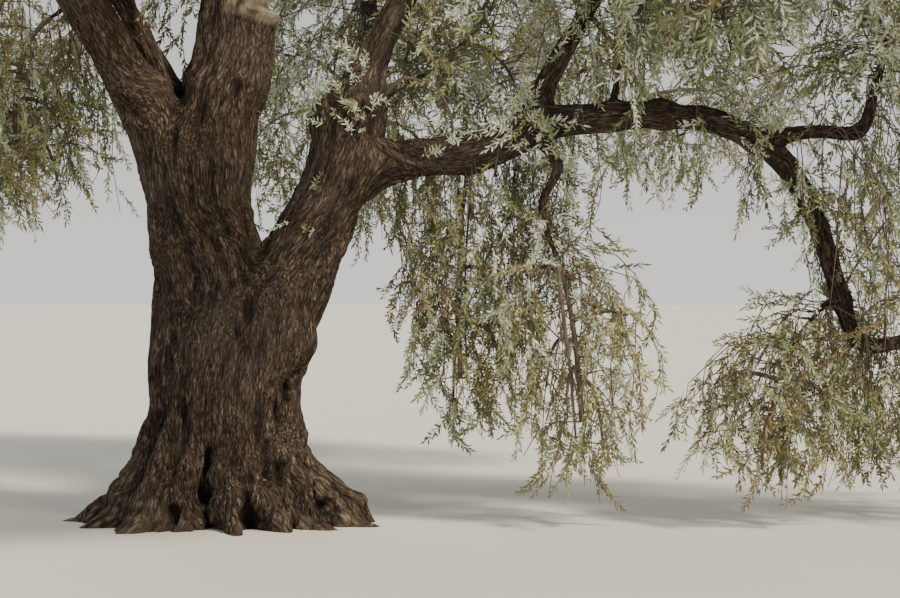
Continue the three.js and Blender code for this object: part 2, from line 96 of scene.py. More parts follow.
# Each limb: the one it grows from, then the points it passes through, each with its radius, in millimetres,
# as in the part's source. The sawn stub is part of the centre bough there.
LIMB_ROUTES = {
    "left_bole": (
        "trunk", (-20, 0, 1100, 320), (-150, 0, 1620, 318), (-190, -10, 1950, 300), (-215, -25, 2370, 300),
    ),
    "left_bough": (
        "left_bole", (-290, -20, 2180, 230), (-600, -80, 2640, 146), (-880, -150, 3120, 134),
        (-1280, -300, 3800, 112), (-1700, -420, 4900, 75),
    ),
    "left_back_bough": (
        "left_bole", (-230, 50, 2280, 105), (-430, 130, 2680, 72), (-690, 210, 3150, 62),
        (-1050, 600, 3850, 56), (-1550, 1250, 4350, 44),
    ),
    "centre_bough": (
        "left_bole", (-140, 0, 2200, 262), (-40, 20, 2640, 230), (0, 40, 3100, 200), (-80, 140, 4000, 152),
        (20, 200, 4800, 112), (80, 220, 5600, 68),
    ),
    "left_side_bough": (
        "left_bough", (-1280, -300, 3800, 76), (-1850, -480, 4180, 58), (-2330, -600, 4360, 42),
    ),
    "left_front_bough": (
        "left_bough", (-1120, -240, 3540, 72), (-1250, -1000, 4000, 52), (-1350, -1650, 4200, 38),
    ),
    "left_low_bough": (
        "left_side_bough", (-1850, -480, 4180, 46), (-2480, -420, 3960, 36), (-2900, -420, 3680, 28),
    ),
    "left_back_low_bough": (
        "left_back_bough", (-1050, 600, 3850, 44), (-1450, 1250, 3780, 34), (-1720, 1640, 3560, 27),
    ),
    "centre_front_bough": (
        "centre_bough", (-60, 110, 3650, 98), (40, -600, 4300, 74), (150, -1250, 4880, 54),
    ),
    "front_right_bough": (
        "centre_front_bough", (20, -450, 4170, 58), (520, -1180, 4300, 46), (820, -1720, 4270, 36),
    ),
    "centre_back_bough": ("centre_bough", (-50, 170, 4300, 84), (20, 880, 4880, 62), (80, 1380, 5180, 46)),
    "right_bole": (
        "trunk", (240, 20, 1180, 300), (430, 20, 1570, 242), (600, 28, 1950, 212), (690, 35, 2240, 208),
        (745, 40, 2520, 168),
    ),
    "upper_right_bough": (
        "right_bole", (745, 40, 2400, 150), (864, 60, 2800, 92), (1030, 100, 3150, 80),
        (1380, 250, 3850, 68), (1780, 380, 4800, 48),
    ),
    "right_back_bough": (
        "right_bole", (700, 60, 2260, 112), (850, 600, 2840, 74), (1230, 1250, 3700, 58),
        (1700, 1660, 4150, 44),
    ),
    "back_bough": ("right_back_bough", (850, 600, 2840, 64), (720, 1560, 3480, 48), (450, 2300, 3900, 36)),
    "back_low_bough": ("back_bough", (720, 1560, 3480, 42), (690, 2180, 3420, 34), (640, 2620, 3240, 27)),
    "right_back_low_bough": (
        "right_back_bough", (1230, 1250, 3700, 46), (1760, 1650, 3720, 36), (2080, 1960, 3560, 28),
    ),
    "rise_shoot": ("right_bole", (760, 60, 2440, 34), (990, 120, 2600, 22), (1160, 200, 2700, 17)),
    "arch_rise": (
        "right_bole", (740, 0, 2100, 170), (1134, -40, 2166, 122), (1494, -90, 2208, 122),
        (1854, -110, 2358, 96), (2214, -100, 2400, 84), (2574, -80, 2424, 77),
    ),
    "arch_fall": (
        "arch_rise", (2574, -80, 2424, 77), (2934, -40, 2370, 76), (3294, 0, 2160, 76),
        (3512, 40, 1812, 61), (3672, 70, 1320, 54),
    ),
    "arch_hook": (
        "arch_fall", (3672, 70, 1320, 54), (3800, 90, 1066, 50), (4002, 110, 1060, 42),
        (4230, 120, 1190, 34),
    ),
    "arch_upright": (
        "arch_rise", (1790, -100, 2340, 84), (1902, -60, 2640, 66), (2106, 20, 3000, 54),
        (2440, 40, 3600, 44), (2720, 0, 3980, 35),
    ),
    "arch_shoot": ("arch_rise", (2280, -95, 2400, 34), (2310, -95, 2660, 19), (2400, -130, 2960, 15)),
    "arch_spur": (
        "arch_fall", (3150, -20, 2270, 56), (3480, -70, 2322, 42), (3740, -110, 2325, 44),
        (3830, -130, 2560, 30), (3900, -150, 2860, 22),
    ),
    "drop_limb": (
        "arch_rise", (1780, -100, 2330, 52), (1950, -210, 2120, 32), (1850, -230, 1880, 25),
        (1880, -230, 1740, 21), (1945, -220, 1560, 16),
    ),
    "fall_shoot": ("arch_fall", (3672, 70, 1330, 34), (3560, -30, 1290, 22), (3450, -110, 1190, 16)),
    "left_shoot": ("left_back_bough", (-690, 210, 3150, 38), (-960, 330, 3190, 24), (-1160, 380, 3080, 17)),
    "curtain_limb": ("arch_rise", (1450, -80, 2200, 40), (1420, 80, 2100, 22), (1400, 190, 1960, 16)),
    "sawn_stub": ("centre_bough", (40, 0, 2640, 165), (100, -20, 2850, 138), (158, -40, 3030, 122)),
}


class Habit(Enum):
    """How a mass of foliage carries its leaves."""

    CROWN = "crown"
    SHOOT = "shoot"
    FALL = "fall"
    CURTAIN = "curtain"


class SprayKind(Enum):
    """The kinds of spray, by the order of their shapes."""

    UPRIGHT = 0
    HANGING = 1
    HIGH = 2


@dataclass(frozen=True)
class Mass:
    """One mass of foliage, in millimetres, as in the part's source.

    Args:
        limb: the limb whose tip its stem grows on from.
        middle: the middle of the space it keeps to.
        half: the half sizes of that space.
        weep: how far its twigs weep, 0 to 1.
        seed: the seed of its growth.
        habit: how it carries its leaves.
    """

    limb: str
    middle: Place
    half: Place
    weep: float
    seed: int
    habit: Habit = Habit.CROWN

    @property
    def centre(self) -> Array:
        """The middle in metres."""
        return np.array(self.middle) * MM

    @property
    def reach(self) -> Array:
        """The half sizes in metres."""
        return np.array(self.half) * MM

    @property
    def area(self) -> float:
        """About the surface of the space, in square metres."""
        a, b, c = self.reach
        return 4 * math.pi * (a * b + b * c + c * a) / 3

    def depth(self, points: Array) -> Array:
        """How far out points lie: 0 in the middle of the space, 1 at its edge."""
        return np.linalg.norm((points - self.centre) / self.reach, axis=-1)


SHOOT, FALL, CURTAIN = Habit.SHOOT, Habit.FALL, Habit.CURTAIN
# Each mass by its node's name without the word foliage.
MASSES = {
    "crown_top": Mass("centre_bough", (150, 200, 7100), (1500, 1400, 1150), 0.1, 1),
    "upper_left": Mass("left_bough", (-1950, -350, 6000), (1400, 1350, 1100), 0.2, 2),
    "upper_right": Mass("upper_right_bough", (2150, 350, 5950), (1450, 1350, 1100), 0.2, 3),
    "upper_front": Mass("centre_front_bough", (200, -2100, 5850), (1350, 1250, 1050), 0.3, 4),
    "upper_back": Mass("centre_back_bough", (100, 2250, 5950), (1400, 1250, 1100), 0.3, 5),
    "left": Mass("left_side_bough", (-3250, -750, 4500), (1200, 1250, 1000), 0.4, 6),
    "left_back": Mass("left_back_bough", (-2350, 1950, 4600), (1250, 1250, 1050), 0.4, 7),
    "front_left": Mass("left_front_bough", (-1450, -2750, 4400), (1300, 1200, 900), 0.4, 8),
    "front_right": Mass("front_right_bough", (1500, -2750, 4350), (1350, 1200, 900), 0.4, 9),
    "right": Mass("arch_upright", (3650, -500, 4450), (1350, 1250, 1000), 0.4, 10),
    "right_back": Mass("right_back_bough", (2550, 2300, 4550), (1350, 1250, 1000), 0.4, 11),
    "back": Mass("back_bough", (100, 3250, 4350), (1300, 1100, 950), 0.5, 12),
    "left_weeping": Mass("left_low_bough", (-3550, -450, 2750), (950, 1250, 1150), 0.9, 13, FALL),
    "left_back_weeping": Mass("left_back_low_bough", (-2150, 2150, 2800), (1100, 1050, 1150), 0.9, 14, FALL),
    "back_weeping": Mass("back_low_bough", (500, 3250, 2650), (1200, 950, 1050), 0.9, 15, FALL),
    "right_back_weeping": Mass("right_back_low_bough", (2750, 2550, 2900), (1250, 1050, 900), 0.8, 16, FALL),
    "rise_crown": Mass("rise_shoot", (1450, 420, 3020), (640, 640, 620), 0.5, 17, SHOOT),
    "arch_crown": Mass("arch_shoot", (2850, -250, 3150), (820, 700, 640), 0.5, 18, SHOOT),
    "spur_crown": Mass("arch_spur", (4450, -250, 2950), (1050, 900, 800), 0.7, 19, SHOOT),
    "left_spray": Mass("left_shoot", (-1330, 400, 2420), (540, 560, 640), 0.8, 23, CURTAIN),
    "fall_curtain": Mass("fall_shoot", (3230, -190, 700), (500, 520, 600), 0.9, 24, CURTAIN),
    "inner_curtain": Mass("curtain_limb", (1380, 260, 1200), (430, 560, 850), 1.0, 20, CURTAIN),
    "drop_curtain": Mass("drop_limb", (2060, -200, 980), (440, 540, 900), 1.0, 21, CURTAIN),
    "right_curtain": Mass("arch_hook", (4720, 120, 1330), (900, 1000, 1200), 0.9, 22, FALL),
}

# The masses whose leaves are joined into one piece.
SECTORS = {
    "top": ("crown_top", "upper_left", "upper_right"),
    "front": ("upper_front", "front_left", "front_right"),
    "back": ("upper_back", "back", "back_weeping"),
    "left": ("left", "left_back", "left_weeping", "left_back_weeping", "left_spray"),
    "right": ("right", "right_back", "right_back_weeping"),
    "arch": ("rise_crown", "arch_crown", "spur_crown"),
    "curtains": ("inner_curtain", "drop_curtain", "fall_curtain", "right_curtain"),
}


def chance(seed: float, count: float) -> float:
    """A number from 0 to 1 that depends only on a seed and a count, as in the part's source."""
    s = math.sin(seed * 12.9898 + count * 78.233) * 43758.5453
    return s - math.floor(s)


def unit(vectors: Array) -> Array:
    """Vectors of length one along the given rows."""
    length = np.linalg.norm(vectors, axis=-1, keepdims=True)
    return vectors / np.maximum(length, 1e-12)


def lattice_noise(points: Array, seed: int) -> Array:
    """Smooth noise from -1 to 1 between the corners of a cube lattice one unit wide.

    Args:
        points: rows of points in lattice units.
        seed: picks one of many such fields.

    Returns:
        One number for each row.
    """
    cell = np.floor(points).astype(np.int64)
    part = points - cell
    ease = part * part * (3 - 2 * part)
    total = np.zeros(len(points))
    for corner in itertools.product((0, 1), repeat=3):
        key = (cell + corner) @ np.array([73856093, 19349663, 83492791]) + seed * 2654435761
        key = (key ^ (key >> 13)) * 1274126177 & 0x7FFFFFFF
        key = (key ^ (key >> 16)) & 0xFFFF
        weight = np.prod(np.where(corner, ease, 1 - ease), axis=1)
        total += weight * (key / 32767.5 - 1)
    return total


# Turns that set the lattices of the noise askew, so that no pattern lines up with a limb.
LATTICE_TURNS = (
    np.array(Matrix.Rotation(0.9, 3, (1, 2, 3))),
    np.array(Matrix.Rotation(2.2, 3, (3, -1, 1))),
)


def noise(points: Array, seed: int = 0) -> Array:
    """Smooth noise of about -1 to 1, as lattice_noise but with no favoured direction."""
    return 0.75 * sum(lattice_noise(points @ turn, seed + 50 * i) for i, turn in enumerate(LATTICE_TURNS))


@dataclass(frozen=True)
class Straight:
    """Points in a limb's straight space.

    Args:
        score: how far out they are as a share of its radius.
        place: across, across and along the limb, in metres.
        radius: the limb's radius there.
        away: how far they are from its surface.
    """

    score: Array
    place: Array
    radius: Array
    away: Array


class Rod:
    """A curve with a radius along it, sampled evenly, with directions square to it that never spin."""

    step = 2
    end_penalty = 2.2
    overshoot_penalty = 0.3
    merge_length = 2.4
    merge_start = 0.8

    def __init__(self, centres: Array, radii: Sequence[float]):
        """Samples the frames along the curve.

        Args:
            centres: rows of evenly spaced points in metres.
            radii: the radius at evenly spaced shares of the curve, in metres.
        """
        self.centre = centres
        self.share = np.linspace(0, 1, len(centres))
        self.radius = np.interp(self.share, np.linspace(0, 1, len(radii)), radii)
        self.along = unit(np.gradient(centres, axis=0))
        steps = np.linalg.norm(np.diff(centres, axis=0), axis=1)
        self.distance = np.concatenate([[0.0], np.cumsum(steps)])
        sides = np.empty_like(centres)
        side = np.array([1.0, 0, 0]) if abs(self.along[0][1]) > 0.8 else np.array([0, 1.0, 0])
        for i, along in enumerate(self.along):
            side = unit(side - along * (side @ along))
            sides[i] = side
        self.side = sides
        self.up = np.cross(self.along, sides)
        self.origin = np.zeros(3)
        self.merge_from = 0.0

    @classmethod
    def through(cls, route: Sequence[Sequence[float]], radii: Sequence[float]) -> "Rod":
        """Lays a rod along the centripetal Catmull-Rom curve through points.

        Args:
            route: the points.
            radii: the radius at evenly spaced shares of the curve, in millimetres.

        Returns:
            The rod, in metres.
        """
        points = np.array(route, float) * MM
        padded = np.vstack([2 * points[0] - points[1], points, 2 * points[-1] - points[-2]])
        count = len(points) - 1
        rows = []
        for share in np.linspace(0, 1, CURVE_SAMPLES):
            span = min(int(share * count), count - 1)
            t = share * count - span
            p0, p1, p2, p3 = padded[span : span + 4]
            d0, d1, d2 = (np.linalg.norm(b - a) ** 0.5 for a, b in ((p0, p1), (p1, p2), (p2, p3)))
            start = ((p1 - p0) / d0 - (p2 - p0) / (d0 + d1) + (p2 - p1) / d1) * d1
            end = ((p2 - p1) / d1 - (p3 - p1) / (d1 + d2) + (p3 - p2) / d2) * d1
            square = 3 * (p2 - p1) - 2 * start - end
            cube = 2 * (p1 - p2) + start + end
            rows.append(p1 + t * start + t * t * square + t**3 * cube)
        return cls(np.array(rows), [r * MM for r in radii])

    @classmethod
    def bent(
        cls, start: Array, bend: Array, end: Array, radii: Sequence[float], count: int = 33
    ) -> "Rod":
        """The quadratic curve from start to end that is pulled towards bend, all in metres."""
        t = np.linspace(0, 1, count)[:, None]
        return cls((1 - t) ** 2 * start + 2 * t * (1 - t) * bend + t * t * end, radii)

    def at(self, share: float) -> Array:
        """The point at a share of the curve."""
        return self._pick(self.centre, share)

    def heading(self, share: float) -> Array:
        """The direction of the curve at a share of it."""
        return unit(self._pick(self.along, share))

    def axes(self, share: float) -> tuple[Array, Array]:
        """The two directions square to the curve at a share of it."""
        index = round(share * (len(self.centre) - 1))
        return self.side[index], self.up[index]

    def radius_at(self, share: float) -> float:
        """The radius at a share of the curve."""
        return float(np.interp(share, self.share, self.radius))

    def piece(self, start: float, end: float) -> "Rod":
        """Cuts a stretch out of the rod.

        Args:
            start: the share of the curve that it starts at.
            end: the share that it ends at.

        Returns:
            The stretch, as a rod of its own.
        """
        inner = self.share[(self.share > start) & (self.share < end)]
        shares = np.concatenate([[start], inner, [end]])
        rod = Rod(np.array([self.at(s) for s in shares]), [1.0])
        rod.radius = np.array([self.radius_at(s) for s in shares])
        return rod

    def straighten(self, points: Array, parent: Straight | None = None) -> Straight:
        """Where points lie in the limb's straight space: its parent's at its foot, its own further on.

        Args:
            points: rows of points in metres.
            parent: the same points in the straight space of the limb it grows from.

        Returns:
            What is known of each point.
        """
        nearest = np.zeros(len(points), int)
        best = np.full(len(points), np.inf)
        away = np.full(len(points), np.inf)
        for i, (centre, radius) in enumerate(zip(self.centre[:: self.step], self.radius[:: self.step])):
            distance = np.linalg.norm(points - centre, axis=1)
            closer = distance / radius < best
            best[closer] = distance[closer] / radius
            nearest[closer] = i
            away = np.minimum(away, distance - radius)
        pick = nearest * self.step
        offset = points - self.centre[pick]
        ahead = (offset * self.along[pick]).sum(axis=1)
        side = (offset * self.side[pick]).sum(axis=1)
        up = (offset * self.up[pick]).sum(axis=1)
        radius = self.radius[pick]
        out = np.hypot(side, up) / radius
        inward = 1 / np.maximum(out, 1)
        ended = (nearest == 0) | (pick >= len(self.centre) - 1)
        penalty = np.where(ended, self.end_penalty, self.overshoot_penalty)
        score = np.maximum(out, best) + np.abs(ahead) / radius * penalty
        run = self.distance[pick] + ahead
        place = np.stack([side * inward, up * inward, run], axis=1) + self.origin
        if parent:
            own = np.clip((run - self.merge_from) / (self.merge_length * self.radius[0]), 0, 1)
            own = own * own * (3 - 2 * own)
            place = parent.place + (place - parent.place) * own[:, None]
            radius = parent.radius + (radius - parent.radius) * own
        return Straight(score, place, radius, away)

    def grow_from(self, parent: "Rod", foot: Straight) -> None:
        """Lets the straight space start where the limb starts in its parent's.

        Args:
            parent: the limb it grows from.
            foot: its first point in the parent's straight space.
        """
        self.origin = foot.place[0]
        nearest = np.argmin(np.linalg.norm(parent.centre - self.centre[0], axis=1))
        turn = np.linalg.norm(np.cross(parent.along[nearest], self.along[0]))
        self.merge_from = self.merge_start * turn * parent.radius[nearest]

    def _pick(self, rows: Array, share: float) -> Array:
        """Rows at a share of the curve, on a straight line between samples."""
        return np.array([np.interp(share, self.share, rows[:, i]) for i in range(3)])


LIMBS = {
    name: Rod.through([point[:3] for point in points], [point[3] for point in points])
    for name, (_, *points) in LIMB_ROUTES.items()
}
PARENTS = {name: parent for name, (parent, *_) in LIMB_ROUTES.items()}


def tube_faces(sides: int, rings: int, wound_back: bool = False) -> list[tuple[int, ...]]:
    """The faces of a closed tube.

    Args:
        sides: how many points each ring has.
        rings: how many rings there are, one after the other.
        wound_back: whether its points turn the other way round.

    Returns:
        Rows of indices.
    """
    faces: list[tuple[int, ...]] = []
    for i, j in itertools.product(range(rings - 1), range(sides)):
        a, b = i * sides + j, i * sides + (j + 1) % sides
        faces.append((a, a + sides, b + sides, b))
    faces.append(tuple(range(sides)))
    faces.append(tuple(reversed(range((rings - 1) * sides, rings * sides))))
    return [(face[0], *face[:0:-1]) for face in faces] if wound_back else faces


def tube_arrays(rod: Rod, sides: int, rings: int, dome: float = 0) -> Shape:
    """The closed tube of a rod.

    Args:
        rod: the curve and its radii.
        sides: how many sides its section has.
        rings: how many sections it has.
        dome: how far its end bulges, as a share of its radius.

    Returns:
        The points, and the faces as rows of indices.
    """
    picks = np.round(np.linspace(0, 1, rings) * (len(rod.centre) - 1)).astype(int)
    centres, radii = rod.centre[picks], rod.radius[picks]
    if dome:
        bulge = np.linspace(0, np.pi / 2, 6)[1:-1]
        ahead = np.outer(np.sin(bulge), rod.along[-1]) * radii[-1] * dome
        centres = np.vstack([centres, centres[-1] + ahead])
        radii = np.concatenate([radii, radii[-1] * np.cos(bulge)])
        picks = np.concatenate([picks, np.full(len(bulge), len(rod.centre) - 1)])
    turn = np.linspace(0, 2 * np.pi, sides, endpoint=False)[None, :, None]
    ring = np.cos(turn) * rod.up[picks][:, None] + np.sin(turn) * rod.side[picks][:, None]
    points = centres[:, None] + ring * radii[:, None, None]
    return points.reshape(-1, 3), tube_faces(sides, len(picks))


class MeshPile:
    """Points and faces gathered for one mesh."""

    def __init__(self) -> None:
        """Starts with nothing."""
        self.points: list[Array] = []
        self.faces: list[tuple[int, ...]] = []
        self.count = 0

    def add(self, points: Array, faces: Iterable[Sequence[int]]) -> None:
        """Adds one shape."""
        self.faces.extend(tuple(i + self.count for i in face) for face in faces)
        self.points.append(points)
        self.count += len(points)

    def add_rods(self, rods: Iterable[Rod], tube: tuple[int, int]) -> None:
        """Adds a tube of so many sides and rings round each rod."""
        for rod in rods:
            self.add(*tube_arrays(rod, *tube))

    def mesh(self, name: str) -> Mesh:
        """The gathered shapes as one Blender mesh."""
        mesh = bpy.data.meshes.new(name)
        mesh.from_pydata(np.vstack(self.points).tolist(), [], self.faces)
        mesh.update()
        return mesh


def link(name: str, data: bpy.types.ID) -> Object:
    """A new object in the scene."""
    obj = bpy.data.objects.new(name, data)
    bpy.context.scene.collection.objects.link(obj)
    return obj


def triangles(mesh: Mesh) -> int:
    """How many triangles a mesh has."""
    return sum(len(polygon.vertices) - 2 for polygon in mesh.polygons)


def applied(obj: Object) -> Object:
    """Makes an object with modifiers a plain mesh.

    Args:
        obj: the object.

    Returns:
        The same object, with no modifiers.
    """
    bpy.context.view_layer.update()
    evaluated = obj.evaluated_get(bpy.context.evaluated_depsgraph_get())
    mesh = bpy.data.meshes.new_from_object(evaluated)
    obj.modifiers.clear()
    old = obj.data
    obj.data = mesh
    bpy.data.meshes.remove(old)
    mesh.name = obj.name
    return obj


# A direction, a height, how far it stands out, its width in degrees and its own height.
Fold = tuple[float, float, float, float, float]


@dataclass(frozen=True)
class TrunkForm:
    """The trunk's sizes in millimetres.

    The column, the foot and the burl are as in the part's source. The roots differ a little from those there,
    and one of them is split in two. The hollows, swellings, ridges and saddle are made only here. A root is a
    direction, a width and how far it stands out. A ridge is how many there are to a quarter turn and how far
    they stand out.
    """

    half_width: float = 450
    depth: float = 0.86
    top: float = 1500
    foot_height: float = 640
    foot_fall: float = 1.5
    column: tuple[Place, ...] = (
        (0, -0.04, 1.22), (300, -0.09, 1.13), (700, -0.11, 0.99), (1000, -0.01, 1.04), (1250, 0.1, 1.09),
        (1500, 0.24, 1.21),
    )
    roots: tuple[Place, ...] = (
        (183, 17, 395), (208, 8, 190), (232, 14, 315), (254, 5, 150), (278, 7, 245), (299, 8, 285),
        (319, 6, 250), (333, 7, 300), (354, 13, 425), (26, 13, 300), (58, 9, 340), (92, 14, 300),
        (126, 9, 330), (156, 12, 280),
    )
    burl: Fold = (-18, 1060, 75, 24, 150)
    hollows: tuple[Fold, ...] = (
        (263, 290, 175, 7, 210), (328, 700, 175, 9, 190), (303, 560, 60, 5, 190), (281, 1130, 62, 6, 330),
        (244, 620, 30, 5, 260), (218, 500, 85, 6, 250), (226, 1050, 26, 6, 330), (200, 700, 30, 7, 300),
        (345, 380, 50, 6, 180), (75, 620, 60, 8, 360), (110, 900, 45, 7, 400), (150, 560, 50, 7, 280),
        (20, 640, 50, 8, 300), (45, 1100, 35, 8, 300), (2, 1130, 34, 26, 150),
    )
    swellings: tuple[Fold, ...] = (
        (291, 660, 34, 9, 230), (252, 860, 26, 8, 330), (232, 560, 34, 8, 240), (205, 1000, 22, 12, 300),
        (318, 1010, 30, 10, 160), (60, 800, 35, 12, 300), (130, 700, 30, 10, 300),
    )
    ridges: tuple[Span, ...] = ((4.6, 80), (9, 40), (17, 16))
    slimming_from: float = 1050
    slimming: float = 0.12
    slimming_bend: float = 1.4
    saddle: float = 0.34
    saddle_width: float = 50
    dome: float = 60
    sway: float = 7
    sway_rise: float = 420
    ridge_rise: float = 1500
    ease: float = 130
    rod_ease: float = 450
    sunk: float = 90
    skirt: float = 34
    skirt_height: float = 90
    skirted_root: float = 250
    boles_from: float = 1120

    def radius(self, z: Array, angle: Array) -> Array:
        """How far the surface stands from the middle, before its depth is flattened.

        Args:
            z: heights in millimetres.
            angle: directions in degrees.

        Returns:
            Distances in millimetres.
        """
        half = self._eased(z, 2, self.ease)
        angle_here = angle + self.sway * self._wander(z, angle, self.sway_rise, 1.7, 11)
        foot = np.maximum(1e-9, 1 - z / self.foot_height) ** self.foot_fall
        turns = ((self._turn(angle_here, at) / width, out) for at, width, out in self.roots)
        roots = sum(out * np.exp(-(turn**2)) for turn, out in turns)
        for number, out in self.ridges:
            crest = np.abs(self._wander(z, angle_here, self.ridge_rise, number, 13 + round(number)))
            roots = roots + out * foot**-0.35 * (0.3 - crest * 2)
        bump = self._stands_out(z, angle_here, self.burl)
        for sign, folds in ((-1, self.hollows), (1, self.swellings)):
            for fold in folds:
                bump = bump + sign * self._stands_out(z, angle_here, fold)
        skirt = self.skirt * np.clip(1 - z / self.skirt_height, 0, 2) ** 2
        return half + foot * roots + skirt * np.clip(roots / self.skirted_root, 0, 1) + bump

    def middle(self, z: Array) -> Array:
        """Where the middle of the column lies along X, in millimetres."""
        return self._eased(z, 1, self.ease)

    def arrays(self, sides: int = 300, rings: int = 130) -> Shape:
        """The column as a closed tube from a little below the ground, in metres.

        Args:
            sides: how many points each ring has.
            rings: how many rings there are below the dome.

        Returns:
            Its points and faces.
        """
        bulge = np.linspace(0, np.pi / 2, 9)[1:-1]
        above = self.top + self.dome * np.sin(bulge)
        heights = np.concatenate([np.linspace(-self.sunk, self.top, rings), above])
        narrowing = np.concatenate([np.ones(rings), np.cos(bulge)])
        z = np.repeat(heights, sides)
        turn = np.tile(np.linspace(0, 2 * np.pi, sides, endpoint=False), len(heights))
        angle = np.degrees(turn)
        radius = self.radius(np.minimum(z, self.top), angle) * np.repeat(narrowing, sides)
        slim = np.clip((z - self.slimming_from) / (self.top - self.slimming_from), 0, 1) ** self.slimming_bend
        from_front = self._turn(angle, 0) - 90
        saddle = self.saddle * np.exp(-((from_front / self.saddle_width) ** 2))
        x = self.middle(z) + np.cos(turn) * radius
        y = np.sin(turn) * radius * (self.depth - (self.slimming + saddle) * slim)
        return np.stack([x, y, z], axis=1) * MM, tube_faces(sides, len(heights), wound_back=True)

    def rod(self) -> Rod:
        """Lays a rod along the column below the boles' feet, for the run of the bark.

        Returns:
            The rod, in metres.
        """
        z = np.linspace(0, self.boles_from, CURVE_SAMPLES)
        middle = self._eased(z, 1, self.rod_ease)
        rod = Rod(np.stack([middle, np.zeros_like(z), z], axis=1) * MM, [1.0])
        rod.radius = self._eased(z, 2, self.rod_ease) * MM
        return rod

    def _eased(self, z: Array, number: int, span: float) -> Array:
        """A number of the column in millimetres, eased over a span of height."""
        rows = np.array(self.column)
        levels = [np.interp(z + step, rows[:, 0], rows[:, number]) for step in np.linspace(-span, span, 9)]
        return np.mean(levels, axis=0) * self.half_width

    @staticmethod
    def _wander(z: Array, angle: Array, rise: float, number: float, seed: int) -> Array:
        """Noise round the column that runs up it, with a number of features to a radius."""
        around = np.stack([np.cos(np.radians(angle)), np.sin(np.radians(angle)), z / rise], axis=-1)
        return noise(around.reshape(-1, 3) * number, seed).reshape(np.shape(angle))

    def _stands_out(self, z: Array, angle: Array, fold: Fold) -> Array:
        """How far a fold stands out at each height and direction, in millimetres."""
        at, height, out, width, tall = fold
        return out * np.exp(-((self._turn(angle, at) / width) ** 2) - ((z - height) / tall) ** 2)

    @staticmethod
    def _turn(angle: Array, at: float) -> Array:
        """The angle between directions, in degrees."""
        return np.abs((angle - at + 180) % 360 - 180)


@dataclass(frozen=True)
class Relief:
    """How deep and wide the bark's flutes, ribs and furrows are, in metres.

    The foot is lumpy below lumps_below, and both its lumps and the depth at which the relief is sunk fade
    towards the ground, so that the roots' toes run out evenly. Ribs and furrows keep between deepest and
    highest, as shares of their depth, and a limb of full_radius has them in full.
    """

    flute_width: float = 0.15
    flute_depth: float = 0.028
    rib_width: float = 0.062
    rib_depth: float = 0.017
    furrow_width: float = 0.03
    furrow_depth: float = 0.009
    stretch: float = 6.5
    lump_width: float = 0.13
    lump_height: float = 0.04
    lumps_below: float = 0.85
    sunk: float = 0.012
    toe_height: float = 0.12
    toe_share: float = 0.35
    full_radius: float = 0.3
    least_share: float = 0.1
    sharpness: float = 2.2
    deepest: float = -0.6
    highest: float = 0.9
    wander: float = 0.03
    wander_length: float = 0.16

    def height(self, place: Array, radius: Array, points: Array) -> tuple[Array, Array]:
        """The bark's height over the limb's own surface.

        Args:
            place: rows of points in the limb's own straight space, its length along the third axis.
            radius: the limb's radius at each point.
            points: the same points in the tree's own space, whose foot is lumpy.

        Returns:
            The heights, and how high each point stands between furrow (0) and rib (1).
        """
        share = np.clip(radius / self.full_radius, self.least_share, 1.0)
        sideways = [noise(place / self.wander_length, seed) for seed in (5, 6)]
        wander = np.stack([*sideways, np.zeros(len(place))], axis=1) * self.wander
        long = (place + wander) * np.array([1, 1, 1 / self.stretch])
        flute = noise(long / self.flute_width, 1)
        rib = 1 - np.abs(noise(long / self.rib_width, 2)) * self.sharpness
        furrow = 1 - np.abs(noise(long / self.furrow_width, 3)) * self.sharpness
        grounded = np.clip(self.toe_share + points[:, 2] / self.toe_height, 0, 1)
        height = self.flute_depth * flute * share - self.sunk * share**0.5 * grounded
        height += self.rib_depth * np.clip(rib, self.deepest, self.highest) * share**0.55
        height += self.furrow_depth * np.clip(furrow, self.deepest, self.highest) * share**0.5
        foot = np.clip(1 - points[:, 2] / self.lumps_below, 0, 1)
        lumps = noise(points / self.lump_width, 9) + 0.5 * noise(points / (0.45 * self.lump_width), 10)
        height += self.lump_height * foot * lumps * grounded
        level = 0.55 * np.clip(rib, self.deepest, 1) + 0.45 * np.clip(furrow, self.deepest, 1)
        return height, np.clip((level - self.deepest) / (1 - self.deepest), 0, 1)


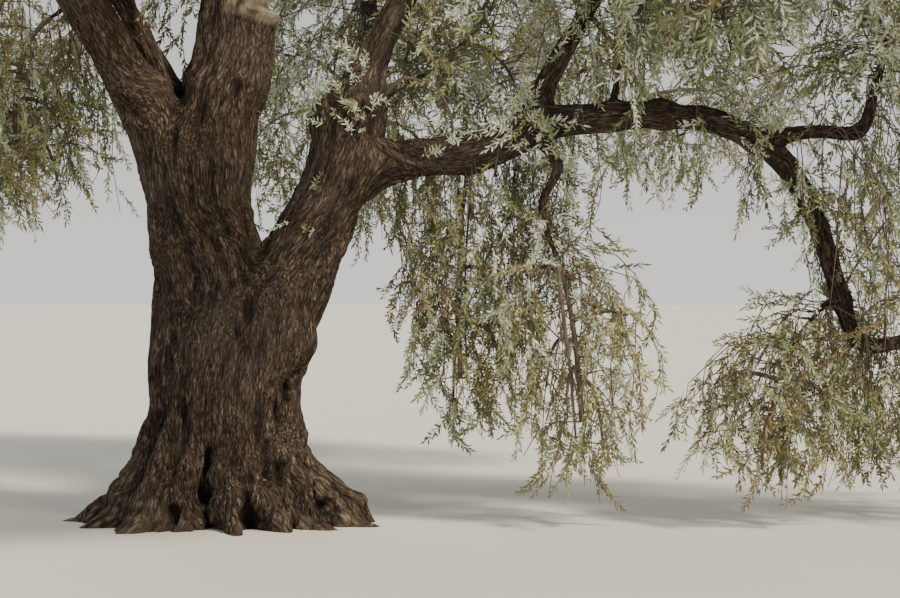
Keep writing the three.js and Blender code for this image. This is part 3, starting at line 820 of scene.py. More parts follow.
class Skin:
    """A mesh's points, normals and edges as arrays, to be worked on and written back."""

    def __init__(self, mesh: Mesh):
        """Reads a mesh.

        Args:
            mesh: the mesh that the points are written back to.
        """
        self.mesh = mesh
        self.points = self._read(mesh.vertices, "co", 3)
        edges = np.empty(len(mesh.edges) * 2, np.int32)
        mesh.edges.foreach_get("vertices", edges)
        self.edges = edges.reshape(-1, 2)

    @staticmethod
    def _read(items: bpy.types.bpy_prop_collection, name: str, width: int) -> Array:
        """One property of all items as rows."""
        values = np.empty(len(items) * width)
        items.foreach_get(name, values)
        return values.reshape(-1, width)

    def normals(self) -> Array:
        """The points' outward directions, after the points are written back."""
        self.write()
        return self._read(self.mesh.vertex_normals, "vector", 3)

    def write(self) -> None:
        """Writes the points to the mesh."""
        self.mesh.vertices.foreach_set("co", self.points.ravel())
        self.mesh.update()

    def relax(self, weight: Array, rounds: int) -> None:
        """Draws each point towards the middle of its neighbours.

        Args:
            weight: how much for each point, 0 to 1.
            rounds: how many times.
        """
        first, second = self.edges.T
        count = len(self.points)
        degree = np.bincount(first, minlength=count) + np.bincount(second, minlength=count)
        pull = (0.5 * weight)[:, None]
        for _ in range(rounds):
            total = np.empty_like(self.points)
            for axis, column in enumerate(self.points.T):
                total[:, axis] = np.bincount(first, column[second], count)
                total[:, axis] += np.bincount(second, column[first], count)
            self.points += pull * (total / degree[:, None] - self.points)

    def store(self, name: str, values: Array) -> None:
        """Stores numbers or vectors at the points.

        Args:
            name: the attribute's name.
            values: one number or one row of three for each point.
        """
        kind, field_name = ("FLOAT", "value") if values.ndim == 1 else ("FLOAT_VECTOR", "vector")
        self.mesh.attributes.new(name, kind, "POINT").data.foreach_set(field_name, values.ravel())


@dataclass(frozen=True)
class Knob:
    """A burr that swells from a limb, in millimetres."""

    place: Place
    half: Place

    def arrays(self) -> Shape:
        """The burr as a closed ball, in metres.

        Returns:
            Its points and faces.
        """
        ball = bmesh.new()
        bmesh.ops.create_icosphere(ball, subdivisions=3, radius=1)
        points = np.array([vertex.co[:] for vertex in ball.verts]) * self.half + np.array(self.place)
        faces = [tuple(vertex.index for vertex in face.verts) for face in ball.faces]
        ball.free()
        return points * MM, faces


@dataclass(frozen=True)
class Dent:
    """A knot hole or sunken scar, in millimetres."""

    place: Place
    width: float
    depth: float

    def depth_at(self, points: Array) -> Array:
        """How deep it is at points in metres."""
        away = np.linalg.norm(points / MM - np.array(self.place), axis=1)
        return self.depth * MM * np.exp(-((away / self.width) ** 4))


# The burrs on the head of the right bole and on the fork, and the callus round the sawn stub.
KNOBS = {
    "bark_trunk": (
        Knob((590, -40, 2360), (85, 95, 190)),
        Knob((790, -130, 2430), (75, 60, 85)),
        Knob((700, -60, 2520), (110, 90, 110)),
        Knob((560, 80, 2380), (90, 110, 160)),
        Knob((-290, -300, 1210), (44, 40, 60)),
    ),
    "bark_left_boughs": (
        Knob((256, -92, 3000), (58, 50, 50)),
        Knob((196, -158, 3020), (40, 30, 34)),
        Knob((128, -150, 3048), (66, 48, 46)),
        Knob((58, -96, 3062), (34, 40, 30)),
        Knob((34, -10, 3066), (38, 56, 40)),
        Knob((96, 66, 3046), (52, 36, 36)),
        Knob((190, 82, 3016), (60, 38, 44)),
        Knob((262, 18, 2996), (34, 44, 32)),
    ),
}
DENTS = {
    "bark_trunk": (
        Dent((800, -190, 2440), 46, 55),
        Dent((300, -330, 1500), 40, 30),
        Dent((-215, -330, 1900), 36, 26),
    ),
}


@dataclass(frozen=True)
class BarkPiece:
    """One mesh of bark.

    Args:
        name: the piece's name.
        nodes: the CAD nodes it stands for.
        voxel: the size of its mesh's cells in metres.
        smoothing: how many times its mesh is smoothed before it gets its relief.
        feet: limbs of other pieces whose swollen feet it has, with the share of their length.
        nearby: other limbs that its bark runs on into.
        stubs: limbs that are no nodes of their own.
    """

    name: str
    nodes: tuple[str, ...]
    voxel: float
    smoothing: int
    feet: tuple[tuple[str, float], ...] = ()
    nearby: tuple[str, ...] = ()
    stubs: tuple[str, ...] = ()

    @property
    def limbs(self) -> tuple[str, ...]:
        """The limbs that it covers from end to end."""
        return tuple(node for node in self.nodes if node != "trunk") + self.stubs

    @property
    def grounded(self) -> bool:
        """Whether it stands on the ground."""
        return "trunk" in self.nodes


BARK_PIECES = (
    BarkPiece(
        "bark_trunk",
        ("trunk", "left_bole", "right_bole"),
        0.0135,
        4,
        feet=(
            ("left_bough", 0.3), ("left_back_bough", 0.2), ("centre_bough", 0.24),
            ("upper_right_bough", 0.28), ("right_back_bough", 0.24), ("arch_rise", 0.24),
        ),
    ),
    BarkPiece(
        "bark_left_boughs",
        ("left_bough", "left_back_bough", "centre_bough", "left_shoot"),
        0.0115,
        3,
        feet=(
            ("left_side_bough", 0.12), ("left_front_bough", 0.12), ("centre_front_bough", 0.12),
            ("centre_back_bough", 0.14),
        ),
        nearby=("left_bole",),
        stubs=("sawn_stub",),
    ),
    BarkPiece(
        "bark_arch",
        (
            "arch_rise", "arch_fall", "arch_hook", "arch_upright", "arch_shoot", "arch_spur", "drop_limb",
            "fall_shoot", "curtain_limb", "upper_right_bough", "rise_shoot",
        ),
        0.0092,
        3,
        nearby=("right_bole",),
    ),
    BarkPiece(
        "bark_far_boughs",
        (
            "left_side_bough", "left_front_bough", "left_low_bough", "left_back_low_bough",
            "centre_front_bough", "front_right_bough", "centre_back_bough", "right_back_bough",
            "back_bough", "back_low_bough", "right_back_low_bough",
        ),
        0.0135,
        3,
        nearby=("right_bole", "centre_bough", "left_bough"),
    ),
)


class Bark:
    """The trunk and boughs as meshes with the bark's relief.

    The end of the left bole is slimmed, so that its boughs run on from it without a ledge, and so is the foot
    of the right one, over the hollow above the burl: shares of the limb, then shares of its radius.
    """

    slimmed = {"left_bole": ((0.86, 1.0), (1.0, 0.76)), "right_bole": ((0.0, 0.2), (0.86, 1.0))}
    as_it_is = ((0.0, 1.0), (1.0, 1.0))
    foot_end = ((0.8, 1.0), (1.0, 0.93))
    sides = 24
    fewest_rings = 8
    foot_rings = 16
    ring_spacing = 0.03
    dome = 0.5
    crotch_reach = 0.15
    least_reach = 0.02
    crotch_share = 1.1
    crotch_span = 0.07
    crotch_fill = 0.3
    crotch_rounds = 22
    # Heights in metres round which seams of the solids are smoothed away, and how far from them.
    ledges = (1.5, 2.42)
    ledge_reach = 0.17
    # How far the surface is smoothed to find its hollows, and the depth at which their painted shade is full.
    hollow_rounds = 60
    hollow_depth = 0.024
    handing_over = 12
    least_share = 0.01
    fork_level = 1.66
    fork_fade = 0.3
    callus_depth = 0.05
    callus_fade = 0.03
    callus_width = 1.7
    callus_grain = 0.045

    def __init__(self, trunk: TrunkForm, relief: Relief, material: Material):
        """Lets every limb's straight space start in its parent's.

        Args:
            trunk: the trunk's sizes.
            relief: the bark's relief.
            material: the bark.
        """
        self.trunk = trunk
        self.relief = relief
        self.material = material
        self.rods = {"trunk": trunk.rod(), **LIMBS}
        for name, rod in LIMBS.items():
            parent = PARENTS[name]
            rod.grow_from(self.rods[parent], self.straighten(rod.centre[:1], [parent])[parent])

    def straighten(self, points: Array, names: Iterable[str]) -> dict[str, Straight]:
        """Points in the straight space of each named limb.

        Args:
            points: rows of points in metres.
            names: the limbs.

        Returns:
            What is known of the points, by limb.
        """
        known: dict[str, Straight] = {}

        def find(name: str) -> Straight:
            """What is known of the points on one limb, its parents first."""
            if name not in known:
                parent = find(PARENTS[name]) if name in PARENTS else None
                known[name] = self.rods[name].straighten(points, parent)
            return known[name]

        return {name: find(name) for name in names}

    def build(self, piece: BarkPiece) -> Object:
        """Makes one piece of bark.

        Args:
            piece: what it covers.

        Returns:
            The finished object, riding on the tree.
        """
        obj = link(piece.name, self.rough_shape(piece))
        remesh = obj.modifiers.new("cells", "REMESH")
        remesh.mode = "VOXEL"
        remesh.voxel_size = piece.voxel
        applied(obj)
        self.roughen(Skin(obj.data), piece)
        if piece.grounded:
            self.cut_level(obj.data)
        obj.data.shade_smooth()
        obj.data.materials.append(self.material)
        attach(obj, "root")
        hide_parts(*piece.nodes)
        log.info("%s: %d triangles", piece.name, triangles(obj.data))
        return obj

    def rough_shape(self, piece: BarkPiece) -> Mesh:
        """Lays out the trunk, limbs, feet and burrs as tubes and balls that run through each other.

        Args:
            piece: what it covers.

        Returns:
            The mesh, before its parts are made one.
        """
        pile = MeshPile()
        if piece.grounded:
            pile.add(*self.trunk.arrays())
        for name in piece.limbs:
            rod = LIMBS[name].piece(0, 1)
            rod.radius *= np.interp(rod.share, *self.slimmed.get(name, self.as_it_is))
            rings = max(self.fewest_rings, int(rod.distance[-1] / self.ring_spacing))
            pile.add(*tube_arrays(rod, self.sides, rings, 0 if name in piece.stubs else self.dome))
        for name, share in piece.feet:
            foot = LIMBS[name].piece(0, share)
            foot.radius *= np.interp(foot.share, *self.foot_end)
            pile.add(*tube_arrays(foot, self.sides, self.foot_rings))
        for knob in KNOBS.get(piece.name, ()):
            pile.add(*knob.arrays())
        return pile.mesh(piece.name)

    @staticmethod
    def cut_level(mesh: Mesh) -> None:
        """Cuts the mesh flat at ground level and closes it there.

        Args:
            mesh: the mesh, which reaches below it.
        """
        whole = bmesh.new()
        whole.from_mesh(mesh)
        parts = [*whole.verts, *whole.edges, *whole.faces]
        ground = {"plane_co": (0, 0, 0), "plane_no": (0, 0, 1)}
        cut = bmesh.ops.bisect_plane(whole, geom=parts, clear_inner=True, **ground)
        rim = [part for part in cut["geom_cut"] if isinstance(part, bmesh.types.BMEdge)]
        for edge in rim:
            for vertex in edge.verts:
                vertex.co.z = 0
        floors = bmesh.ops.holes_fill(whole, edges=rim, sides=0)["faces"]
        for face in floors:
            face.normal_update()
            if face.normal.z > 0:
                face.normal_flip()
        log.info("cut level: %d faces on the ground", len(floors))
        whole.to_mesh(mesh)
        whole.free()

    def roughen(self, skin: Skin, piece: BarkPiece) -> None:
        """Fills the crotches, gives the surface the bark's relief and stores how the bark runs.

        Args:
            skin: the surface to work on.
            piece: what it covers.
        """
        skin.relax(np.ones(len(skin.points)), piece.smoothing)
        names = [*piece.limbs, *(name for name, _ in piece.feet), *piece.nearby]
        rows = self.straighten(skin.points, [*names, "trunk"] if piece.grounded else names)
        crease = self.fill_crotches(skin, {name: rows[name] for name in names})
        if piece.grounded:
            for height in self.ledges:
                away = (skin.points[:, 2] - height) / self.ledge_reach
                crease = np.maximum(crease, np.exp(-(away**2)))
        skin.relax(crease, self.crotch_rounds)
        score = np.array([row.score for row in rows.values()])
        weight = np.exp(-self.handing_over * (score - score.min(axis=0)))
        weight[weight < self.least_share] = 0
        weight /= weight.sum(axis=0)
        grain = sum(share[:, None] * row.place for share, row in zip(weight, rows.values()))
        radius = sum(share * row.radius for share, row in zip(weight, rows.values()))
        height, level = self.relief.height(grain, radius, skin.points)
        for dent in DENTS.get(piece.name, ()):
            height -= dent.depth_at(skin.points)
        skin.points += skin.normals() * height[:, None]
        skin.write()
        skin.store("grain", grain)
        skin.store("plate", level)
        # The hollows' depth, for the painted shade and darker damp bark laid in them.
        skin.store("hollow", self.hollows(skin))
        skin.store("cut", self.cut_wood(skin.points))

    def cut_wood(self, points: Array) -> Array:
        """Finds how bare of bark each point is.

        Args:
            points: rows of points in metres.

        Returns:
            1 on the sawn stub's face and callus, 0 elsewhere.
        """
        stub = LIMBS["sawn_stub"]
        offset = points - stub.centre[-1]
        above = np.clip((offset @ stub.along[-1] + self.callus_depth) / self.callus_fade, 0, 1)
        near = np.linalg.norm(offset, axis=1) < self.callus_width * stub.radius[-1]
        return above * near * np.clip(0.75 + 0.7 * noise(points / self.callus_grain, 21), 0, 1)

    def hollows(self, skin: Skin) -> Array:
        """Finds how deep each point lies in a hollow or fold, where the bark is darkened as painted shade and
        as darker damp bark.

        Args:
            skin: the surface.

        Returns:
            0 on open bark and 1 deep inside, for each point.
        """
        normals = skin.normals()
        own = skin.points.copy()
        skin.relax(np.ones(len(own)), self.hollow_rounds)
        depth = ((skin.points - own) * normals).sum(axis=1)
        skin.points = own
        skin.write()
        return np.clip(depth / self.hollow_depth, 0, 1)

    def fill_crotches(self, skin: Skin, rows: dict[str, Straight]) -> Array:
        """Rounds out the creases where limbs meet, but for the foot of the fork, which stays sharp.

        Args:
            skin: the surface to work on.
            rows: each limb's straightened points.

        Returns:
            How near each point is to a crease, 0 to 1.
        """
        away = np.array([row.away for row in rows.values()])
        radii = np.array([row.radius for row in rows.values()])
        nearest = np.argsort(away, axis=0)[:2]
        first, second = np.take_along_axis(away, nearest, axis=0)
        thin = np.take_along_axis(radii, nearest, axis=0).min(axis=0)
        reach = np.clip(self.crotch_share * thin, self.least_reach, self.crotch_reach)
        near = np.clip(1 - np.abs(second - first) / reach, 0, 1)
        near[np.abs(first) > self.crotch_span] = 0
        if "left_bole" in rows:
            near *= np.clip((skin.points[:, 2] - self.fork_level) / self.fork_fade, 0, 1)
        skin.points += skin.normals() * (self.crotch_fill * reach * near**2)[:, None]
        return near


@dataclass(frozen=True)
class Growth:
    """The source's rule of growth, and the finer twigs it is carried on to, in metres.

    A hanging twig starts at the foot that costs least, which counts how far aside and above that foot lies,
    whether it is too low or too high, and some chance. The sprays at a twig's end and along its sides are
    given by how far they point along it and outward.
    """

    twig_area: float = 2.55
    fewest_twigs: int = 5
    twig_reach: float = 0.76
    twig_radii: Span = (0.017, 0.008)
    clearance: float = 0.012
    branchlet_area: float = 0.16
    branchlet_radii: Span = (0.0062, 0.003)
    branchlet_reach: float = 0.97
    sprays_on_a_branchlet: int = 5
    string_area: float = 0.052
    string_radii_mm: Span = (4.8, 2.2)
    string_spacing: float = 0.14
    string_drop: float = 0.35
    string_above: float = 0.5
    string_sway: float = 0.07
    string_reach: float = 0.7
    string_rim: float = 1.02
    string_cost: float = 3
    string_cost_aside: float = 2
    string_cost_length: float = 0.3
    string_cost_misfit: float = 9
    string_cost_chance: float = 0.2
    string_end: float = 0.16
    string_foot: float = 0.12
    string_sizes: Span = (0.7, 1.05)
    string_tint_change: float = 0.25
    lowest: float = 0.05
    edge: float = -0.1
    cleared: float = 0.85
    twig_lift: float = 0.22
    branchlet_lift: float = 0.14
    shortest: float = 0.12
    spray_sizes: Span = (0.78, 1.18)
    spray_span: float = 0.72
    spray_scatter: float = 0.16
    end_spray: Span = (1.6, 0.35)
    side_spray: Span = (0.75, 0.9)
    spray_thickness: float = 0.03
    spray_edge: float = 1.04
    tint_change: float = 0.35


@dataclass(frozen=True)
class Leafing:
    """How a habit carries its leaves.

    Args:
        branchlets: how many finer twigs it has, as a share of the usual number.
        strings: how many hanging twigs it has, as a share of a curtain's.
        kind: its kind of spray.
        tints: the shares of the tints, in their order.
    """

    branchlets: float
    strings: float
    kind: SprayKind
    tints: tuple[float, ...]

    def tint(self, rng: Random) -> int:
        """The number of a tint, picked at random by the shares."""
        return int(rng.choice(len(self.tints), p=self.tints))


# The crown and shoots lean to silver and the curtains to yellow and brown olive: partly the leaves' own mix,
# partly painted light, sunlit leaves above and backlit, shaded leaves in the curtains.
LEAFINGS = {
    Habit.CROWN: Leafing(1.3, 0.0, SprayKind.HIGH, (0.26, 0.34, 0.24, 0.11, 0.05)),
    Habit.SHOOT: Leafing(2.2, 0.0, SprayKind.UPRIGHT, (0.34, 0.32, 0.21, 0.09, 0.04)),
    Habit.FALL: Leafing(0.75, 0.16, SprayKind.HANGING, (0.18, 0.28, 0.24, 0.18, 0.12)),
    Habit.CURTAIN: Leafing(0.5, 1.0, SprayKind.HANGING, (0.07, 0.15, 0.22, 0.29, 0.27)),
}


@dataclass(frozen=True)
class Spray:
    """One spray of leaves: its foot, its heading, its roll about it, its size, its tint and its kind."""

    foot: Array
    heading: Array
    roll: float
    size: float
    tint: int
    kind: SprayKind

    @classmethod
    def turned(
        cls, foot: Array, heading: Array, rng: Random, size: float, tint: int, kind: SprayKind
    ) -> "Spray":
        """A spray turned at random about its heading."""
        return cls(foot, heading, rng.uniform(0, 2 * math.pi), size, tint, kind)

    @property
    def turn(self) -> Place:
        """The XYZ angles that set it along its heading."""
        turn = Vector(self.heading).to_track_quat("Z", "Y").to_matrix() @ Matrix.Rotation(self.roll, 3, "Z")
        return tuple(turn.to_euler("XYZ"))


class Crown:
    """All the foliage: it grows the twigs of every mass and says where its sprays stand."""

    def __init__(self, growth: Growth):
        """Notes the room that the limbs take up and the gaps through which some are seen.

        Args:
            growth: the rule of growth.
        """
        self.growth = growth
        self.balls = np.vstack([rod.centre[::2] for rod in LIMBS.values()])
        self.ball_radii = np.concatenate([rod.radius[::2] for rod in LIMBS.values()])
        low, high = (np.array(corner) for corner in CAD_BOUNDS)
        self.low = low - growth.edge
        self.high = high + growth.edge
        self.seen = np.vstack([gap.places() for gap in GAPS])
        self.seen_width = np.repeat([gap.width for gap in GAPS], GAP_SAMPLES)
        self.sight = unit(np.array(VIEWPOINT) - self.seen)

    def hides(self, foot: Array, tip: Array, rng: Random) -> bool:
        """Whether a spray is left out because it would close a gap through which a limb is seen.

        Args:
            foot: where the spray starts.
            tip: where it ends.
            rng: random numbers, by which a few sprays stay all the same.

        Returns:
            True if it is.
        """
        points = np.array([foot, (foot + tip) / 2, tip])
        offset = points[:, None] - self.seen[None]
        ahead = (offset * self.sight).sum(axis=2)
        aside = np.linalg.norm(offset - ahead[..., None] * self.sight, axis=2)
        in_gap = bool(((aside < self.seen_width) & (ahead > 0)).any())
        return in_gap and rng.random() < self.growth.cleared

    def clear(self, mass: Mass, points: Array, thickness: float, edge: float = 1.0) -> bool:
        """Whether points keep to a mass's own space, clear of its neighbours' spaces and of all limbs.

        Args:
            mass: the mass they belong to.
            points: rows of points in metres.
            thickness: how far the twig or leaf reaches round them.
            edge: how far out in the space they may lie.

        Returns:
            True if they do.
        """
        depth = mass.depth(points)
        gap = self.growth.clearance + thickness
        if (depth > edge).any() or (points[:, 2] < self.growth.clearance).any():
            return False
        for other in MASSES.values():
            if other is not mass and (other.depth(points) < depth + gap / mass.reach.min()).any():
                return False
        away = np.linalg.norm(points[:, None] - self.balls[None], axis=2)
        return bool((away > self.ball_radii + gap).all())

    def inside(self, point: Array) -> bool:
        """Whether a point lies within the solids' own reach."""
        return bool(((point > self.low) & (point < self.high)).all())

    def stem(self, mass: Mass) -> Rod:
        """Grows the stem on from the limb's tip through the space, by the source's rule.

        Args:
            mass: the mass it belongs to.

        Returns:
            The stem.
        """
        limb = LIMBS[mass.limb]
        along = limb.along[-1]
        root = limb.centre[-1] + along * GAP
        span = np.linalg.norm(root - mass.centre)
        far = mass.centre + unit(mass.centre - root) * 0.35 * mass.reach.min()
        far[2] += (0.25 - 0.5 * mass.weep) * mass.reach[2]
        radii = [limb.radius[-1] * 0.95, self.growth.twig_radii[0]]
        return Rod.bent(root, root + along * 0.55 * span, far, radii)

    @staticmethod
    def spread(index: int, count: int, start: float) -> Array:
        """One of a number of directions spread evenly over a ball, from a turn to start at."""
        rise = 1 - 2 * (index + 0.5) / count
        turn = start + GOLDEN_ANGLE * index
        flat = math.sqrt(1 - rise * rise)
        return np.array([math.cos(turn) * flat, math.sin(turn) * flat, rise])

    def twigs(self, mass: Mass, stem: Rod) -> list[Rod]:
        """Fans twigs out from the stem, by the source's rule.

        Args:
            mass: the mass they belong to.
            stem: its stem.

        Returns:
            The twigs that keep to the space.
        """
        growth = self.growth
        count = max(growth.fewest_twigs, round(mass.area / growth.twig_area))
        shares = np.linspace(0, 1, 21)
        found = []
        for i in range(count):
            out = growth.twig_reach * (0.85 + 0.15 * chance(mass.seed, i + 1))
            tip = mass.centre + mass.reach * self.spread(i, count, 2 * math.pi * chance(mass.seed, 0)) * out
            nearest = shares[np.argmin([np.linalg.norm(stem.at(share) - tip) for share in shares])]
            foot = stem.at(0.12 + 0.7 * nearest)
            found.append(self.arched(mass, foot, tip, growth.twig_radii, growth.twig_lift))
        return [twig for twig in found if self.clear(mass, twig.centre[4::4], growth.twig_radii[0])]

    @staticmethod
    def arched(mass: Mass, foot: Array, tip: Array, radii: Sequence[float], lift: float) -> Rod:
        """A twig that rises from its foot and falls towards its tip, the more the mass weeps.

        Args:
            mass: the mass it belongs to.
            foot: where it starts.
            tip: where it ends.
            radii: its radii at both.
            lift: how far it rises, as a share of its length.

        Returns:
            The twig.
        """
        rise = np.array([0, 0, np.linalg.norm(tip - foot) * lift])
        arched = (foot + tip) / 2 + rise
        hung = np.array([tip[0], tip[1], max(foot[2], tip[2])]) * 0.75 + foot * 0.25 + rise
        return Rod.bent(foot, arched + (hung - arched) * mass.weep, tip, radii)

    def branchlets(self, mass: Mass, parents: list[Rod], rng: Random) -> list[Rod]:
        """Finer twigs from the stem and twigs to points spread evenly through the space.

        Args:
            mass: the mass they belong to.
            parents: its stem and twigs.
            rng: the mass's own random numbers.

        Returns:
            The finer twigs.
        """
        growth = self.growth
        count = round(LEAFINGS[mass.habit].branchlets * mass.area / growth.branchlet_area)
        feet = np.vstack([rod.centre[6:] for rod in parents])
        start = 2 * math.pi * rng.random()
        found = []
        for i in range(count):
            out = growth.branchlet_reach * rng.uniform(0.2, 1.0) ** 0.42
            tip = mass.centre + mass.reach * self.spread(i, count, start) * out
            foot = feet[np.argmin(np.linalg.norm(feet - tip, axis=1) + 0.25 * rng.random(len(feet)))]
            if self.inside(tip) and np.linalg.norm(tip - foot) >= growth.shortest:
                found.append(self.arched(mass, foot, tip, growth.branchlet_radii, growth.branchlet_lift))
        return [rod for rod in found if self.clear(mass, rod.centre[8::6], growth.branchlet_radii[0])]

    def strings(self, mass: Mass, parents: list[Rod], rng: Random) -> list[Rod]:
        """Long thin twigs that hang from limbs and twigs above.

        Args:
            mass: the mass they belong to.
            parents: its stem and twigs.
            rng: the mass's own random numbers.

        Returns:
            The hanging twigs.
        """
        growth = self.growth
        a, b, c = mass.reach
        count = round(LEAFINGS[mass.habit].strings * math.pi * a * b * 4 / growth.string_area)
        feet = np.vstack([rod.centre[4:] for rod in (*parents, *LIMBS.values())])
        found = []
        for i in range(count):
            turn = GOLDEN_ANGLE * i + rng.uniform(0, 0.5)
            out = math.sqrt((i + 0.5) / count) * growth.string_rim
            drop = math.sqrt(max(0.0, 1.04 - out * out))
            low = mass.centre[2] - c * drop * (1.0 - 1.5 * rng.random() ** 1.6)
            level = mass.centre[:2] + np.array([a * math.cos(turn), b * math.sin(turn)]) * out
            tip = np.array([*level, max(low, growth.lowest)])
            gap = np.hypot(*(feet - tip).T[:2])
            height = feet[:, 2]
            cost = gap * growth.string_cost_aside + np.abs(height - tip[2]) * growth.string_cost_length
            cost += growth.string_cost_misfit * (height < tip[2] + growth.string_drop)
            cost += growth.string_cost_misfit * (height > mass.centre[2] + c + growth.string_above)
            best = int(np.argmin(cost + growth.string_cost_chance * rng.random(len(feet))))
            if cost[best] <= growth.string_cost and gap[best] <= growth.string_reach and self.inside(tip):
                found.append(self.hung(feet[best], tip, rng))
        return found

    def hung(self, foot: Array, tip: Array, rng: Random) -> Rod:
        """A thin twig that arches out from its foot and hangs to its tip, swaying a little on its way.

        Args:
            foot: where it starts.
            tip: where it ends.
            rng: random numbers for its sway.

        Returns:
            The twig.
        """
        gap = np.hypot(*(tip - foot)[:2])
        drop = foot[2] - tip[2]
        sways = rng.normal(0, self.growth.string_sway, (3, 3)) * np.array([1, 1, 0.3])
        points = [
            foot,
            [*(foot[:2] * 0.45 + tip[:2] * 0.55), foot[2] + 0.12 * gap - 0.06 * drop] + sways[0] * 0.6,
            [*(foot[:2] * 0.1 + tip[:2] * 0.9), foot[2] - 0.38 * drop] + sways[1],
            [*tip[:2], foot[2] - 0.72 * drop] + sways[2] * 0.6,
            tip,
        ]
        return Rod.through(np.array(points) / MM, self.growth.string_radii_mm)

    def fringe(self, fringe: "Fringe", rng: Random) -> list[Rod]:
        """The thin twigs that hang straight from one limb.

        Args:
            fringe: where they hang and how far.
            rng: random numbers.

        Returns:
            The twigs.
        """
        limb = LIMBS[fringe.limb]
        found = []
        for i in range(fringe.count):
            share = fringe.span[0] + (fringe.span[1] - fringe.span[0]) * (i + rng.random()) / fringe.count
            out = rng.normal(0, 1, 2) * np.array(fringe.spread) + np.array(fringe.lean)
            foot = limb.at(share)
            tip = foot + np.array([*out, -rng.uniform(*fringe.drop)])
            tip[2] = max(tip[2], self.growth.lowest)
            if self.inside(tip):
                found.append(self.hung(foot, tip, rng))
        return found

    def hang_sprays(self, habit: Habit, strings: list[Rod], rng: Random, sprays: list[Spray]) -> None:
        """Sets sprays of leaves along hanging twigs.

        Args:
            habit: how their leaves are tinted.
            strings: the hanging twigs.
            rng: their own random numbers.
            sprays: where they are added.
        """
        growth = self.growth
        leafing = LEAFINGS[habit]
        form = SPRAY_FORMS[SprayKind.HANGING]
        reach = 1.1 * (form.length + form.leaf_length)
        for rod in strings:
            length = rod.distance[-1]
            tint = leafing.tint(rng)
            place = length - growth.string_end
            while place > growth.string_foot * length:
                share = float(np.interp(place, rod.distance, rod.share))
                foot = rod.at(share)
                side, up = rod.axes(share)
                turn = rng.uniform(0, 2 * math.pi)
                out = side * math.cos(turn) + up * math.sin(turn)
                heading = unit(rod.heading(share) + out * rng.uniform(0.3, 1.3) - [0, 0, 0.3])
                place -= growth.string_spacing * rng.uniform(0.8, 1.5)
                if foot[2] + reach * min(heading[2], -0.3) < growth.lowest * 0.4:
                    continue
                if self.hides(foot, foot + heading * form.length, rng):
                    continue
                if rng.random() < growth.string_tint_change:
                    tint = leafing.tint(rng)
                size = rng.uniform(*growth.string_sizes)
                sprays.append(Spray.turned(foot, heading, rng, size, tint, SprayKind.HANGING))

    def place_sprays(self, mass: Mass, branchlets: list[Rod], rng: Random, sprays: list[Spray]) -> None:
        """Sets sprays of leaves on the finer twigs.

        Args:
            mass: the mass they belong to.
            branchlets: its finer twigs.
            rng: the mass's own random numbers.
            sprays: where they are added.
        """
        growth = self.growth
        leafing = LEAFINGS[mass.habit]
        for rod in branchlets:
            length = rod.distance[-1]
            count = growth.sprays_on_a_branchlet + (length > 0.7) + 2 * (length > 1.0)
            tint = leafing.tint(rng)
            for j in range(count):
                share = 1 - growth.spray_span * j / count
                side, up = rod.axes(share)
                turn = GOLDEN_ANGLE * j + rng.uniform(0, 0.8)
                out = side * math.cos(turn) + up * math.sin(turn)
                ahead, aside = growth.side_spray if j else growth.end_spray
                heading = rod.heading(share) * ahead + out * aside
                heading[2] += 0.25 - 1.15 * mass.weep
                heading = unit(heading + rng.normal(0, growth.spray_scatter, 3))
                size = rng.uniform(*growth.spray_sizes)
                foot = rod.at(share)
                tip = foot + heading * SPRAY_FORMS[leafing.kind].length * size
                places = np.array([tip, (foot + tip) / 2])
                room = (growth.spray_thickness, growth.spray_edge)
                if not self.inside(tip) or not self.clear(mass, places, *room) or self.hides(foot, tip, rng):
                    continue
                if rng.random() < growth.tint_change:
                    tint = leafing.tint(rng)
                sprays.append(Spray.turned(foot, heading, rng, size, tint, leafing.kind))


class Tint(Enum):
    """The plain colours that sprays of leaves are dealt, partly the leaves' own and partly painted light:
    silver for sunlit leaves, yellow and brown olive for backlit and shaded ones.
    """

    SILVER = "#CDD2BE"
    GREY_GREEN = "#A0A888"
    OLIVE = "#7F865F"
    YELLOW_OLIVE = "#9B9968"
    BROWN_OLIVE = "#7F764F"


def to_linear(colour: str) -> tuple[float, float, float, float]:
    """An sRGB hex colour as Blender's linear numbers.

    Args:
        colour: such as "#A8AC92".

    Returns:
        Red, green, blue and alpha.
    """
    parts = [int(colour[i : i + 2], 16) / 255 for i in (1, 3, 5)]
    linear = [p / 12.92 if p <= 0.04045 else ((p + 0.055) / 1.055) ** 2.4 for p in parts]
    return (*linear, 1.0)


def add_node(tree: Tree, kind: str, inputs: dict | None = None, **settings: object) -> Node:
    """Adds one node.

    Args:
        tree: the node tree.
        kind: Blender's name for the node.
        inputs: values or sockets by input name or number.
        settings: the node's own properties.

    Returns:
        The node.
    """
    node = tree.nodes.new(kind)
    for key, value in settings.items():
        setattr(node, key, value)
    for key, value in (inputs or {}).items():
        if isinstance(value, Socket):
            tree.links.new(value, node.inputs[key])
        else:
            node.inputs[key].default_value = value
    return node


def new_material(name: str, roughness: float, colour: str = "") -> tuple[Material, Node]:
    """Makes a material with a bare Principled shader.

    Args:
        name: its name.
        roughness: its roughness.
        colour: its sRGB colour, if it has a plain one.

    Returns:
        The material and its shader.
    """
    material = bpy.data.materials.new(name)
    material.use_nodes = True
    shader = next(node for node in material.node_tree.nodes if node.type == "BSDF_PRINCIPLED")
    shader.inputs["Roughness"].default_value = roughness
    if colour:
        shader.inputs["Base Color"].default_value = to_linear(colour)
    return material, shader


